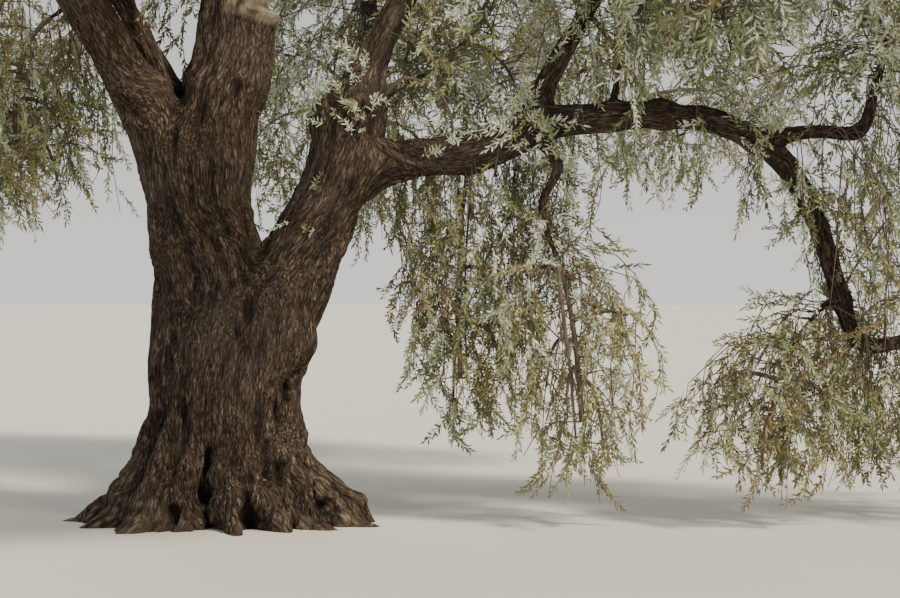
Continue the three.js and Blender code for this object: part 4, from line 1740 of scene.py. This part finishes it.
@dataclass(frozen=True)
class BarkFinish:
    """Old olive bark: grown wood, dry and matt, with dark furrows between narrow upright ribs.

    The ribs weather to grey beige, fresh bark between them shows red brown, and furrows stay dark because
    light seldom reaches their floor.
    """

    furrow: str = "#130E0A"
    inner: str = "#2C231C"
    rib: str = "#4F4338"
    weathered: str = "#776B5D"
    rust: str = "#7A4E35"
    grey: str = "#6C655B"
    lichen: str = "#8F9483"
    cut_wood: str = "#A89B86"
    roughness: float = 0.92
    specular: float = 0.2
    furrow_width_mm: float = 13
    crack_width_mm: float = 5.5
    stretch: float = 7.0
    bump_mm: float = 7.0
    plate_width_mm: float = 15
    plate_stretch: float = 5.0

    def build(self) -> Material:
        """Makes the material.

        Returns:
            The bark.
        """
        material, shader = new_material("bark", self.roughness)
        tree = material.node_tree
        grain = add_node(tree, "ShaderNodeAttribute", attribute_name="grain").outputs["Vector"]
        # The hollows' depth is read here, and sets where painted shade is laid.
        level, hollow, cut = (
            add_node(tree, "ShaderNodeAttribute", attribute_name=name).outputs["Fac"]
            for name in ("plate", "hollow", "cut")
        )
        sway = add_node(tree, "ShaderNodeTexNoise", {"Vector": grain, "Scale": 9.0, "Detail": 2.0})
        swayed = {0: sway.outputs["Color"], 1: (0.016, 0.016, 0.03), 2: grain}
        bent = add_node(tree, "ShaderNodeVectorMath", swayed, operation="MULTIPLY_ADD").outputs["Vector"]
        height = self._ribs(tree, bent, self.furrow_width_mm)
        cracks = self._ribs(tree, bent, self.crack_width_mm)
        for layer, share in ((cracks, 0.42), (self._plates(tree, bent), 0.3)):
            mixed = {"Factor": share, "A": height, "B": layer}
            height = add_node(tree, "ShaderNodeMix", mixed).outputs["Result"]
        shade = add_node(tree, "ShaderNodeMix", {"Factor": 0.16, "A": height, "B": level}).outputs["Result"]
        ramp = add_node(tree, "ShaderNodeValToRGB", {"Fac": shade})
        stops = ((0.14, self.furrow), (0.42, self.inner), (0.76, self.rib), (1.0, self.weathered))
        for index, (place, tone) in enumerate(stops):
            stop = ramp.color_ramp.elements[index] if index < 2 else ramp.color_ramp.elements.new(place)
            stop.position = place
            stop.color = to_linear(tone)
        # Where each mark lies, its colour, its strength and how it is laid over the bark: real stains and cut
        # wood, and painted shade in the hollows.
        stains_and_painted_shade = (
            (self._patches(tree, grain, 2.6, 0.5, 0.72), self.rust, 0.45, "OVERLAY"),
            (self._patches(tree, grain, 1.7, 0.5, 0.7), self.grey, 0.22, "MIX"),
            (self._patches(tree, grain, 26.0, 0.62, 0.74), self.lichen, 0.22, "MIX"),
            # Painted shade in hollows and folds, in the furrows' dark colour, which also stands for the
            # darker damp bark there.
            (hollow, self.furrow, 0.85, "MIX"),
            (cut, self.cut_wood, 0.6, "MIX"),
        )
        colour = ramp.outputs["Color"]
        for where, tint, strength, blend in stains_and_painted_shade:
            amount = add_node(tree, "ShaderNodeMath", {0: where, 1: strength}, operation="MULTIPLY")
            laid = {0: amount.outputs["Value"], 6: colour, 7: to_linear(tint)}
            colour = add_node(tree, "ShaderNodeMix", laid, data_type="RGBA", blend_type=blend).outputs[2]
        raised = {"Strength": 1.0, "Distance": self.bump_mm * MM, "Height": height}
        bump = add_node(tree, "ShaderNodeBump", raised)
        tree.links.new(colour, shader.inputs["Base Color"])
        tree.links.new(bump.outputs["Normal"], shader.inputs["Normal"])
        shader.inputs["Specular IOR Level"].default_value = self.specular
        return material

    @staticmethod
    def _stretched(tree: Tree, grain: Socket, width_mm: float, stretch: float) -> Socket:
        """Places counted in widths of a pattern, which is drawn out along the limb."""
        across = 1000 / width_mm
        scaled = {0: grain, 1: (across, across, across / stretch)}
        return add_node(tree, "ShaderNodeVectorMath", scaled, operation="MULTIPLY").outputs["Vector"]

    def _ribs(self, tree: Tree, grain: Socket, width_mm: float) -> Socket:
        """Upright ribs and the furrows between them, 0 at a furrow's floor and 1 on a rib.

        Args:
            tree: the material's nodes.
            grain: places along and across the limb.
            width_mm: how far apart the furrows lie.

        Returns:
            The ribs' height.
        """
        run = self._stretched(tree, grain, width_mm, self.stretch)
        waved = {"Vector": run, "Scale": 0.6, "Detail": 2.5, "Roughness": 0.6}
        wave = add_node(tree, "ShaderNodeTexNoise", waved)
        centred = add_node(tree, "ShaderNodeMath", {0: wave.outputs["Fac"], 1: 0.5}, operation="SUBTRACT")
        crease = add_node(tree, "ShaderNodeMath", {0: centred.outputs["Value"]}, operation="ABSOLUTE")
        edges = {"Value": crease.outputs["Value"], "From Min": 0.003, "From Max": 0.085}
        return add_node(tree, "ShaderNodeMapRange", edges).outputs["Result"]

    def _plates(self, tree: Tree, grain: Socket) -> Socket:
        """Small upright plates with cracks round them, 0 in a crack and 1 on a plate.

        Args:
            tree: the material's nodes.
            grain: places along and across the limb.

        Returns:
            The plates' height.
        """
        run = self._stretched(tree, grain, self.plate_width_mm, self.plate_stretch)
        inputs = {"Vector": run, "Scale": 1.0}
        cells = add_node(tree, "ShaderNodeTexVoronoi", inputs, feature="DISTANCE_TO_EDGE")
        edges = {"Value": cells.outputs["Distance"], "From Min": 0.02, "From Max": 0.2}
        return add_node(tree, "ShaderNodeMapRange", edges).outputs["Result"]

    @staticmethod
    def _patches(tree: Tree, grain: Socket, scale: float, low: float, high: float) -> Socket:
        """Soft patches, 0 outside and 1 inside."""
        cloud = add_node(tree, "ShaderNodeTexNoise", {"Vector": grain, "Scale": scale, "Detail": 4.0})
        edges = {"Value": cloud.outputs["Fac"], "From Min": low, "From Max": high}
        return add_node(tree, "ShaderNodeMapRange", edges).outputs["Result"]


@dataclass(frozen=True)
class TwigFinish:
    """Young olive wood: smooth thin bark, grey brown and matt."""

    colour: str = "#62574A"
    roughness: float = 0.85

    def build(self) -> Material:
        """Makes the material."""
        return new_material("twig", self.roughness, self.colour)[0]


@dataclass(frozen=True)
class LeafFinish:
    """Olive leaves: leathery, with a thin wax that gives a faint sheen, silver scales beneath."""

    tint: Tint
    roughness: float = 0.6
    wax_ior: float = 1.45

    def build(self) -> Material:
        """Makes the material."""
        material, shader = new_material(f"leaf_{self.tint.name.lower()}", self.roughness, self.tint.value)
        shader.inputs["IOR"].default_value = self.wax_ior
        return material


# A leaf between its foot and its tip: shares of its length, width and curl for each point, then its faces.
FLAT_LEAF = (((0.46, -0.55, 1.0), (0.46, 0.55, 1.0)), ((0, 2, 1), (1, 2, 3)))
FOLDED_LEAF = (
    ((0.32, -0.46, 0.7), (0.32, 0.46, 0.7), (0.7, -0.4, 0.9), (0.7, 0.4, 0.9)),
    ((0, 2, 1), (1, 2, 4), (1, 4, 3), (3, 4, 5)),
)


@dataclass(frozen=True)
class SprayForm:
    """A spray: a thin twig with pairs of narrow leaves, in metres."""

    length: float = 0.3
    pairs: int = 11
    leaf_length: float = 0.072
    leaf_width: float = 0.0158
    least_lean: float = 0.5
    most_lean: float = 1.15
    droop: float = 0.06
    twig_radius: float = 0.0023
    tip_radius: float = 0.0009
    twig_rings: int = 3
    leaf: tuple = FOLDED_LEAF

    def axis(self, rng: Random) -> Rod:
        """The spray's own twig, along +Z."""
        sway = rng.normal(0, 0.03, 2)
        bend = np.array([*-sway, self.length * 0.55])
        end = np.array([sway[0] + self.droop, sway[1], self.length])
        return Rod.bent(np.zeros(3), bend, end, [self.twig_radius, self.tip_radius], 13)

    def twig_mesh(self, name: str, axis: Rod) -> Mesh:
        """The spray's twig."""
        pile = MeshPile()
        pile.add(*tube_arrays(axis, 3, self.twig_rings))
        return pile.mesh(name)

    def leaf_mesh(self, name: str, axis: Rod, rng: Random) -> Mesh:
        """Sets pairs of leaves along the spray's twig and one at its end.

        Args:
            name: the mesh's name.
            axis: the spray's twig.
            rng: random numbers.

        Returns:
            The mesh.
        """
        pile = MeshPile()
        for i in range(self.pairs):
            share = 0.1 + 0.86 * i / (self.pairs - 1)
            side, up = axis.axes(share)
            turn = i * math.pi / 2 + rng.normal(0, 0.35)
            for half in (0, math.pi):
                out = side * math.cos(turn + half) + up * math.sin(turn + half)
                lean = rng.uniform(self.least_lean, self.most_lean)
                heading = unit(axis.heading(share) * math.cos(lean) + out * math.sin(lean))
                pile.add(*self._leaf(axis.at(share), heading, rng, 1.05 - 0.4 * abs(share - 0.4)))
        pile.add(*self._leaf(axis.at(1), axis.heading(1), rng, 0.8))
        return pile.mesh(name)

    def _leaf(self, foot: Array, heading: Array, rng: Random, size: float) -> Shape:
        """Makes one narrow leaf.

        Args:
            foot: where it starts.
            heading: where it points.
            rng: random numbers for its turn, length and curl.
            size: its size as a share of a full leaf's.

        Returns:
            Its points and faces.
        """
        across = unit(np.cross(heading, rng.normal(0, 1, 3)))
        above = np.cross(heading, across)
        length = self.leaf_length * size * rng.uniform(0.78, 1.18)
        width = self.leaf_width * size
        curl = above * length * rng.uniform(-0.08, 0.12)
        outline, faces = self.leaf
        run = heading * length
        rims = [foot + run * ahead + across * width * side + curl * lift for ahead, side, lift in outline]
        return np.array([foot, *rims, foot + run]), faces


SPRAY_FORMS = {
    SprayKind.UPRIGHT: SprayForm(),
    SprayKind.HANGING: SprayForm(0.27, 15, 0.052, 0.0135, 0.3, 1.05, 0.02, leaf=FLAT_LEAF),
    SprayKind.HIGH: SprayForm(0.34, 15, 0.084, 0.019, twig_rings=2, leaf=FLAT_LEAF),
}
SPRAY_VARIANTS = 4


class SprayDealer:
    """Sets sprays on points with geometry nodes and makes the result a plain mesh."""

    # What each point carries: its name, its kind, its type of number and Blender's key for it.
    layers = (
        ("turn", "FLOAT_VECTOR", np.float32, "vector"),
        ("size", "FLOAT", np.float32, "value"),
        ("kind", "INT", np.int32, "value"),
        ("tint", "INT", np.int32, "value"),
    )

    def __init__(self, materials: Sequence[Material]):
        """Builds the node tree for the tints, one material each."""
        self.materials = {f"Tint {index}": material for index, material in enumerate(materials)}
        self.tree = self._build_tree()

    def _build_tree(self) -> Tree:
        """Builds the tree: points in, one joined mesh of sprays out, each spray in its own tint.

        Returns:
            The tree.
        """
        tree = bpy.data.node_groups.new("deal_sprays", "GeometryNodeTree")
        ways_in = {"Points": "Geometry", "Sprays": "Collection", **dict.fromkeys(self.materials, "Material")}
        for name, kind in ways_in.items():
            tree.interface.new_socket(name, in_out="INPUT", socket_type=f"NodeSocket{kind}")
        tree.interface.new_socket("Joined", in_out="OUTPUT", socket_type="NodeSocketGeometry")
        source = add_node(tree, "NodeGroupInput")
        stored = {}
        for name, kind, _, _ in self.layers:
            node = add_node(tree, "GeometryNodeInputNamedAttribute", {"Name": name}, data_type=kind)
            stored[name] = next(way for way in node.outputs if way.name == "Attribute" and way.enabled)
        held = {"Collection": source.outputs["Sprays"], "Separate Children": True, "Reset Children": True}
        shapes = add_node(tree, "GeometryNodeCollectionInfo", held)
        spin = add_node(tree, "FunctionNodeEulerToRotation", {"Euler": stored["turn"]})
        placed = {
            "Points": source.outputs["Points"],
            "Instance": shapes.outputs["Instances"],
            "Pick Instance": True,
            "Instance Index": stored["kind"],
            "Rotation": spin.outputs["Rotation"],
            "Scale": stored["size"],
        }
        dealt = add_node(tree, "GeometryNodeInstanceOnPoints", placed)
        joined = add_node(tree, "GeometryNodeRealizeInstances", {"Geometry": dealt.outputs["Instances"]})
        shape = joined.outputs["Geometry"]
        for index, name in enumerate(self.materials):
            pair = {2: stored["tint"], 3: index}
            same = add_node(tree, "FunctionNodeCompare", pair, data_type="INT", operation="EQUAL")
            paint = {"Geometry": shape, "Selection": same.outputs["Result"], "Material": source.outputs[name]}
            shape = add_node(tree, "GeometryNodeSetMaterial", paint).outputs["Geometry"]
        add_node(tree, "NodeGroupOutput", {"Joined": shape})
        return tree

    def deal(self, name: str, sprays: list[Spray], variants: Array, shapes: Collection) -> Object:
        """Makes one object of many sprays.

        Args:
            name: the object's name.
            sprays: where the sprays stand and how they are tinted. One material alone goes to all.
            variants: which shape each takes.
            shapes: the shapes, in the order of their names.

        Returns:
            The object, a plain mesh.
        """
        mesh = bpy.data.meshes.new(name)
        mesh.from_pydata([spray.foot.tolist() for spray in sprays], [], [])
        known = {
            "turn": [spray.turn for spray in sprays],
            "size": [spray.size for spray in sprays],
            "kind": variants,
            "tint": [spray.tint % len(self.materials) for spray in sprays],
        }
        for layer, kind, number, key in self.layers:
            values = np.array(known[layer], number).ravel()
            mesh.attributes.new(layer, kind, "POINT").data.foreach_set(key, values)
        obj = link(name, mesh)
        modifier = obj.modifiers.new("sprays", "NODES")
        modifier.node_group = self.tree
        given = {"Sprays": shapes, **self.materials}
        for item in self.tree.interface.items_tree:
            if item.name in given:
                modifier[item.identifier] = given[item.name]
        applied(obj)
        slots = obj.data.materials
        while None in list(slots):
            slots.pop(index=list(slots).index(None))
        for layer, *_ in self.layers:
            if layer in obj.data.attributes:
                obj.data.attributes.remove(obj.data.attributes[layer])
        return obj


@dataclass(frozen=True)
class Tuft:
    """Shoots that stand straight on a limb.

    Args:
        limb: the limb.
        span: the stretch of the limb they stand on, as shares of its length.
        heading: which way they point.
        count: how many there are.
        spread: how much their headings differ.
        size: their size as a share of a full spray's.
    """

    limb: str
    span: Span
    heading: Place
    count: int
    spread: float = 0.5
    size: float = 0.7

    tint_shares = (0.6, 0.3, 0.1)
    sunk_share = 0.92

    def grow(self, rng: Random) -> list[Spray]:
        """Sets the tuft's sprays on the limb's surface, pointing outward.

        Args:
            rng: random numbers.

        Returns:
            The sprays.
        """
        limb = LIMBS[self.limb]
        sprays = []
        for _ in range(self.count):
            share = rng.uniform(*self.span)
            heading = unit(np.array(self.heading) + rng.normal(0, self.spread, 3))
            along = limb.heading(share)
            out = unit(heading - along * (heading @ along))
            foot = limb.at(share) + out * limb.radius_at(share) * self.sunk_share
            tint = int(rng.choice(len(self.tint_shares), p=self.tint_shares))
            kind = SprayKind.HANGING if heading[2] < -0.2 else SprayKind.UPRIGHT
            sprays.append(Spray.turned(foot, heading, rng, self.size * rng.uniform(0.7, 1.2), tint, kind))
        return sprays


@dataclass(frozen=True)
class Fringe:
    """Thin leafy twigs that hang straight from a limb, in metres.

    Args:
        limb: the limb.
        span: the stretch of the limb they hang from, as shares of its length.
        count: how many there are.
        drop: the least and the most they hang down.
        spread: how far they stray to the side and to the front or back.
        lean: how far they all stray.
        habit: how their leaves are tinted.
    """

    limb: str
    span: Span
    count: int
    drop: Span
    spread: Span = (0.08, 0.22)
    lean: Span = (0.0, 0.0)
    habit: Habit = Habit.CURTAIN


FRINGES = {
    "back": (
        Fringe("back_bough", (0.2, 1.0), 28, (0.6, 1.9), (0.35, 0.3), (-0.2, 0.0), Habit.FALL),
        Fringe("centre_bough", (0.45, 0.7), 14, (0.9, 1.7), (0.2, 0.3), (-0.5, 0.4), Habit.FALL),
    ),
    "right": (
        Fringe("right_back_bough", (0.3, 0.9), 24, (0.5, 1.5), (0.35, 0.3), (-0.15, 0.1), Habit.FALL),
    ),
    "arch": (
        Fringe("arch_upright", (0.45, 1.0), 34, (0.3, 1.1), (0.4, 0.4), (0.25, -0.1), Habit.FALL),
        Fringe("arch_upright", (0.7, 1.0), 22, (0.2, 1.0), (0.3, 0.4), (1.15, -0.1), Habit.FALL),
        Fringe("upper_right_bough", (0.3, 0.85), 20, (0.3, 1.0), (0.25, 0.35), (0.2, 0.1), Habit.FALL),
        Fringe("arch_fall", (0.2, 0.6), 9, (0.2, 0.6), (0.08, 0.25), (0.15, 0.05)),
        Fringe("arch_spur", (0.15, 1.0), 30, (0.5, 1.7), (0.16, 0.28), (0.2, -0.05), Habit.FALL),
        Fringe("arch_spur", (0.8, 1.0), 16, (0.1, 0.9), (0.3, 0.2), (-0.3, 0.25), Habit.FALL),
    ),
    "curtains": (
        Fringe("arch_rise", (0.2, 0.74), 34, (0.3, 1.3), (0.08, 0.16), (0.0, 0.2)),
        Fringe("drop_limb", (0.05, 0.95), 14, (0.3, 0.9), (0.16, 0.12), (0.0, 0.2)),
        Fringe("arch_fall", (0.55, 1.0), 16, (0.3, 0.9), (0.1, 0.12), (0.12, 0.22)),
        Fringe("arch_hook", (0.1, 1.0), 46, (0.5, 1.05), (0.16, 0.2), (0.08, 0.2)),
        Fringe("fall_shoot", (0.2, 1.0), 10, (0.4, 1.1), (0.2, 0.2), (-0.1, 0.1)),
    ),
}

TUFTS = (
    Tuft("right_bole", (0.48, 0.52), (-0.5, -0.9, 0.1), 2, 0.3, 0.5),
    Tuft("right_bole", (0.33, 0.37), (-0.3, -0.9, -0.1), 3, 0.3, 0.55),
    Tuft("right_bole", (0.8, 1.0), (-0.9, -0.4, 0.7), 14, 0.35, 0.7),
    Tuft("right_bole", (0.78, 1.0), (0.1, -1.0, 0.3), 14, 0.4, 0.6),
    Tuft("upper_right_bough", (0.0, 0.2), (-0.6, -0.8, 0.5), 10, 0.4, 0.65),
    Tuft("arch_rise", (0.2, 0.36), (0.3, -0.9, 0.25), 5, 0.4, 0.7),
    Tuft("arch_rise", (0.4, 0.64), (0.0, -0.6, 0.7), 16, 0.6, 0.75),
    Tuft("arch_rise", (0.42, 0.62), (0.2, -0.9, -0.4), 12, 0.5, 0.8),
    Tuft("drop_limb", (0.0, 0.35), (0.0, -0.8, 0.1), 12, 0.7, 0.75),
    Tuft("drop_limb", (0.6, 1.0), (0.0, -0.4, -0.7), 10, 0.6, 0.8),
    Tuft("curtain_limb", (0.3, 1.0), (0.0, -0.7, -0.4), 6, 0.6, 0.7),
    Tuft("arch_fall", (0.12, 0.5), (0.1, -0.5, 0.8), 22, 0.6, 0.85),
    Tuft("arch_fall", (0.3, 0.75), (0.2, -0.9, 0.0), 12, 0.6, 0.8),
    Tuft("arch_spur", (0.2, 0.9), (0.0, -0.5, 0.7), 10, 0.6, 0.75),
    Tuft("arch_upright", (0.1, 0.5), (0.2, -0.5, 0.4), 7, 0.6, 0.75),
    Tuft("arch_hook", (0.2, 0.9), (0.1, -0.6, 0.5), 6, 0.6, 0.75),
)

# The long twig that the drop limb ends in.
DROP_TWIG = (((1942, -222, 1570), (1965, -340, 1280), (2005, -400, 930), (2040, -400, 520)), (17, 7))
# Thin bare or dying twigs: points in millimetres, then the radii at their ends.
BARE_TWIGS = (
    DROP_TWIG,
    (((150, -60, 2450), (320, -90, 2385), (480, -100, 2300)), (6, 3)),
    (((905, -40, 2520), (1040, -90, 2640), (1200, -110, 2590), (1330, -90, 2500)), (13, 7)),
    (((1260, -110, 2545), (1320, -120, 2420), (1335, -110, 2260)), (8, 5)),
    (((1200, -110, 2590), (1330, -150, 2640), (1470, -160, 2620)), (6, 3)),
    (((1972, -360, 1180), (1925, -420, 1010), (1890, -430, 800)), (7, 4)),
    (((2010, -400, 900), (2070, -430, 700), (2080, -440, 520)), (7, 3)),
    (((1440, 150, 1980), (1410, 120, 1600), (1405, 100, 1200), (1420, 100, 800)), (8, 3)),
    (((1905, -200, 1500), (2080, -260, 1430), (2200, -300, 1330)), (7, 3)),
    (((3950, 100, 1060), (3940, 60, 1300), (3955, 50, 1560), (3960, 40, 1780)), (9, 4)),
    (((3665, 60, 1340), (3740, 20, 1500), (3850, 0, 1680), (3960, -20, 1840)), (9, 4)),
    (((3790, 80, 1080), (3810, 60, 1220), (3900, 40, 1310), (4010, 30, 1330)), (7, 3)),
)


@dataclass(frozen=True)
class Gap:
    """A gap in the foliage before a limb, so that the limb is seen from the viewpoint.

    Args:
        rod: the limb.
        span: the stretch of it that is seen, as shares of its length.
        width: how far the gap reaches to each side of its middle line, in metres.
    """

    rod: Rod
    span: Span
    width: float

    def places(self) -> Array:
        """Points along the stretch."""
        return np.array([self.rod.at(share) for share in np.linspace(*self.span, GAP_SAMPLES)])


GAP_SAMPLES = 14
GAPS = (
    Gap(LIMBS["arch_fall"], (0.8, 1.0), 0.085),
    Gap(LIMBS["arch_hook"], (0.0, 1.0), 0.09),
    Gap(LIMBS["arch_spur"], (0.3, 0.8), 0.085),
    Gap(LIMBS["drop_limb"], (0.1, 1.0), 0.065),
    Gap(Rod.through(*DROP_TWIG), (0.0, 0.85), 0.055),
)


class Foliage:
    """The crown's twigs and leaves, as one piece of each for every sector."""

    limb_seed = 31
    mass_seed = 9000
    variant_seed = 77
    shape_seed = 500
    # How many sides and rings the tubes of each kind of twig have.
    stem_tube = (7, 10)
    twig_tube = (5, 8)
    branchlet_tube = (3, 4)
    string_tube = (3, 7)
    bare_tube = (5, 12)

    def __init__(self, growth: Growth, twig: Material, leaves: Sequence[Material]):
        """Makes the shapes of spray.

        Args:
            growth: the rule of growth.
            twig: the twigs' material.
            leaves: the leaves' materials, by tint.
        """
        self.twig = twig
        self.crown = Crown(growth)
        self.leaf_dealer = SprayDealer(leaves)
        self.twig_dealer = SprayDealer([twig])
        self.leaf_shapes, self.twig_shapes = self._shapes()

    def _shapes(self) -> list[Collection]:
        """Makes the shapes of spray, kind after kind.

        Returns:
            The leaves' shapes and the twigs' shapes.
        """
        leaves, twigs = (bpy.data.collections.new(f"spray_{part}") for part in ("leaves", "twigs"))
        forms = [SPRAY_FORMS[kind] for kind in SprayKind for _ in range(SPRAY_VARIANTS)]
        for index, form in enumerate(forms):
            rng = np.random.default_rng(self.shape_seed + index)
            axis = form.axis(rng)
            leaf_mesh = form.leaf_mesh(f"spray_leaves_{index:02d}", axis, rng)
            twig_mesh = form.twig_mesh(f"spray_twig_{index:02d}", axis)
            for shapes, mesh in ((leaves, leaf_mesh), (twigs, twig_mesh)):
                shapes.objects.link(bpy.data.objects.new(mesh.name, mesh))
        return [leaves, twigs]

    def build(self, sector: str, names: Sequence[str]) -> None:
        """Makes the leaves and twigs of one sector.

        Args:
            sector: its name.
            names: its masses.
        """
        nodes = [f"foliage_{name}" for name in names]
        sprays: list[Spray] = []
        wood = MeshPile()
        self._dress_limbs(sector, sprays, wood)
        for name in names:
            self._grow(name, sprays, wood)
        rng = np.random.default_rng(self.variant_seed)
        order = np.array([spray.kind.value for spray in sprays])
        variants = rng.integers(0, SPRAY_VARIANTS, len(order)) + SPRAY_VARIANTS * order
        leaves = self.leaf_dealer.deal(f"leaves_{sector}", sprays, variants, self.leaf_shapes)
        twiglets = self.twig_dealer.deal(f"twiglets_{sector}", sprays, variants, self.twig_shapes)
        twigs = self._join(f"twigs_{sector}", wood, twiglets)
        for obj, slot in ((leaves, "leaves"), (twigs, "bark")):
            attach(obj, "root")
            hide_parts(*nodes)
            log.info("%s: %d triangles", obj.name, triangles(obj.data))

    def _dress_limbs(self, sector: str, sprays: list[Spray], wood: MeshPile) -> None:
        """Sets tufts, bare twigs and fringes on the limbs of one sector.

        Args:
            sector: its name.
            sprays: where sprays are added.
            wood: where twigs are added.
        """
        rng = np.random.default_rng(self.limb_seed)
        if sector == "arch":
            for tuft in TUFTS:
                sprays += tuft.grow(rng)
            wood.add_rods([Rod.through(route, radii) for route, radii in BARE_TWIGS], self.bare_tube)
        for fringe in FRINGES.get(sector, ()):
            strings = self.crown.fringe(fringe, rng)
            self.crown.hang_sprays(fringe.habit, strings, rng, sprays)
            wood.add_rods(strings, self.string_tube)
        log.info("%s: %d sprays on limbs", sector, len(sprays))

    def _grow(self, name: str, sprays: list[Spray], wood: MeshPile) -> None:
        """Grows one mass of foliage.

        Args:
            name: its name.
            sprays: where its sprays are added.
            wood: where its twigs are added.
        """
        mass = MASSES[name]
        rng = np.random.default_rng(self.mass_seed + mass.seed)
        before = len(sprays)
        stem = self.crown.stem(mass)
        twigs = self.crown.twigs(mass, stem)
        branchlets = self.crown.branchlets(mass, [stem, *twigs], rng)
        strings = self.crown.strings(mass, [stem, *twigs], rng)
        self.crown.place_sprays(mass, branchlets, rng, sprays)
        self.crown.hang_sprays(mass.habit, strings, rng, sprays)
        wood.add_rods([stem], self.stem_tube)
        wood.add_rods(twigs, self.twig_tube)
        wood.add_rods(branchlets, self.branchlet_tube)
        wood.add_rods(strings, self.string_tube)
        counts = (len(twigs), len(branchlets), len(strings), len(sprays) - before)
        log.info("foliage_%s: %d twigs, %d finer, %d hanging, %d sprays", name, *counts)

    def _join(self, name: str, wood: MeshPile, twiglets: Object) -> Object:
        """Joins a sector's twigs and its sprays' thin twigs.

        Args:
            name: the piece's name.
            wood: the sector's twigs.
            twiglets: its sprays' thin twigs.

        Returns:
            The piece.
        """
        mesh = wood.mesh(name)
        joined = bmesh.new()
        joined.from_mesh(mesh)
        joined.from_mesh(twiglets.data)
        joined.to_mesh(mesh)
        joined.free()
        mesh.materials.clear()
        mesh.materials.append(self.twig)
        mesh.polygons.foreach_set("material_index", np.zeros(len(mesh.polygons), np.int32))
        mesh.shade_smooth()
        bpy.data.objects.remove(twiglets)
        return link(name, mesh)

    def clear_shapes(self) -> None:
        """Removes the shapes that sprays were copied from."""
        for shapes in (self.leaf_shapes, self.twig_shapes):
            for obj in list(shapes.objects):
                bpy.data.objects.remove(obj)
            bpy.data.collections.remove(shapes)


@dataclass(frozen=True)
class Studio:
    """The plain floor, the soft lights and the camera, in metres."""

    floor_colour: str = "#D6D3CB"
    floor_radius: float = 400
    eye: Place = VIEWPOINT
    lens_mm: float = 70
    sensor_mm: float = 36
    horizon_colour: str = "#FAF8F3"
    sky_colour: str = "#A4A9AB"
    sky_from: float = 0.0
    sky_to: float = 0.45
    floor_roughness: float = 0.9
    sight: float = 900

    def build(self) -> None:
        """Makes the stage."""
        self._floor()
        self._light("key", (6, -5, 8), 9, 4.6, "#FFF3E0")
        self._light("fill", (-7, -9, 3), 60, 0.5, "#EDF2FF")
        self._light("rim", (-4, 9, 7), 30, 1.0, "#FFF8EC")
        self._sky()
        camera = bpy.data.cameras.new("camera")
        camera.lens = self.lens_mm
        camera.sensor_width = self.sensor_mm
        camera.clip_end = self.sight
        obj = link("camera", camera)
        obj.location = self.eye
        obj.rotation_euler = (math.radians(90), 0, 0)
        bpy.context.scene.camera = obj

    def _sky(self) -> None:
        """A pale horizon under a greyer sky, which lights the tree from all round."""
        world = bpy.data.worlds.new("studio")
        bpy.context.scene.world = world
        world.use_nodes = True
        tree = world.node_tree
        back = next(n for n in tree.nodes if n.type == "BACKGROUND")
        direction = add_node(tree, "ShaderNodeTexCoord").outputs["Generated"]
        height = add_node(tree, "ShaderNodeSeparateXYZ", {"Vector": direction}).outputs["Z"]
        span = {"Value": height, "From Min": self.sky_from, "From Max": self.sky_to}
        rise = add_node(tree, "ShaderNodeMapRange", span).outputs["Result"]
        colours = {0: rise, 6: to_linear(self.horizon_colour), 7: to_linear(self.sky_colour)}
        sky = add_node(tree, "ShaderNodeMix", colours, data_type="RGBA")
        tree.links.new(sky.outputs[2], back.inputs["Color"])

    def _floor(self) -> None:
        """A wide plain floor."""
        turn = np.linspace(0, 2 * np.pi, 96, endpoint=False)
        points = np.stack([np.cos(turn), np.sin(turn), 0 * turn], axis=1) * self.floor_radius
        pile = MeshPile()
        pile.add(points, [tuple(range(len(turn)))])
        floor = link("floor", pile.mesh("floor"))
        floor.data.materials.append(new_material("floor", self.floor_roughness, self.floor_colour)[0])

    @staticmethod
    def _light(name: str, place: Sequence[float], softness: float, power: float, colour: str) -> None:
        """One soft light from far off.

        Args:
            name: its name.
            place: the direction it comes from.
            softness: how wide it looks, in degrees.
            power: its strength.
            colour: its sRGB colour.
        """
        light = bpy.data.lights.new(name, "SUN")
        light.angle = math.radians(softness)
        light.energy = power
        light.color = to_linear(colour)[:3]
        obj = link(name, light)
        obj.location = place
        obj.rotation_euler = (-Vector(place)).to_track_quat("-Z", "Y").to_euler()


def make_foliage() -> Foliage:
    """The foliage's builder with its materials."""
    return Foliage(Growth(), TwigFinish().build(), [LeafFinish(tint).build() for tint in Tint])


def main() -> None:
    """Builds the tree and its studio."""
    logging.basicConfig(level=logging.INFO, format="%(name)s %(message)s")
    Studio().build()
    bark = Bark(TrunkForm(), Relief(), BarkFinish().build())
    for piece in BARK_PIECES:
        bark.build(piece)
    foliage = make_foliage()
    for sector, names in SECTORS.items():
        foliage.build(sector, names)
    foliage.clear_shapes()


if __name__ == "__main__":
    main()
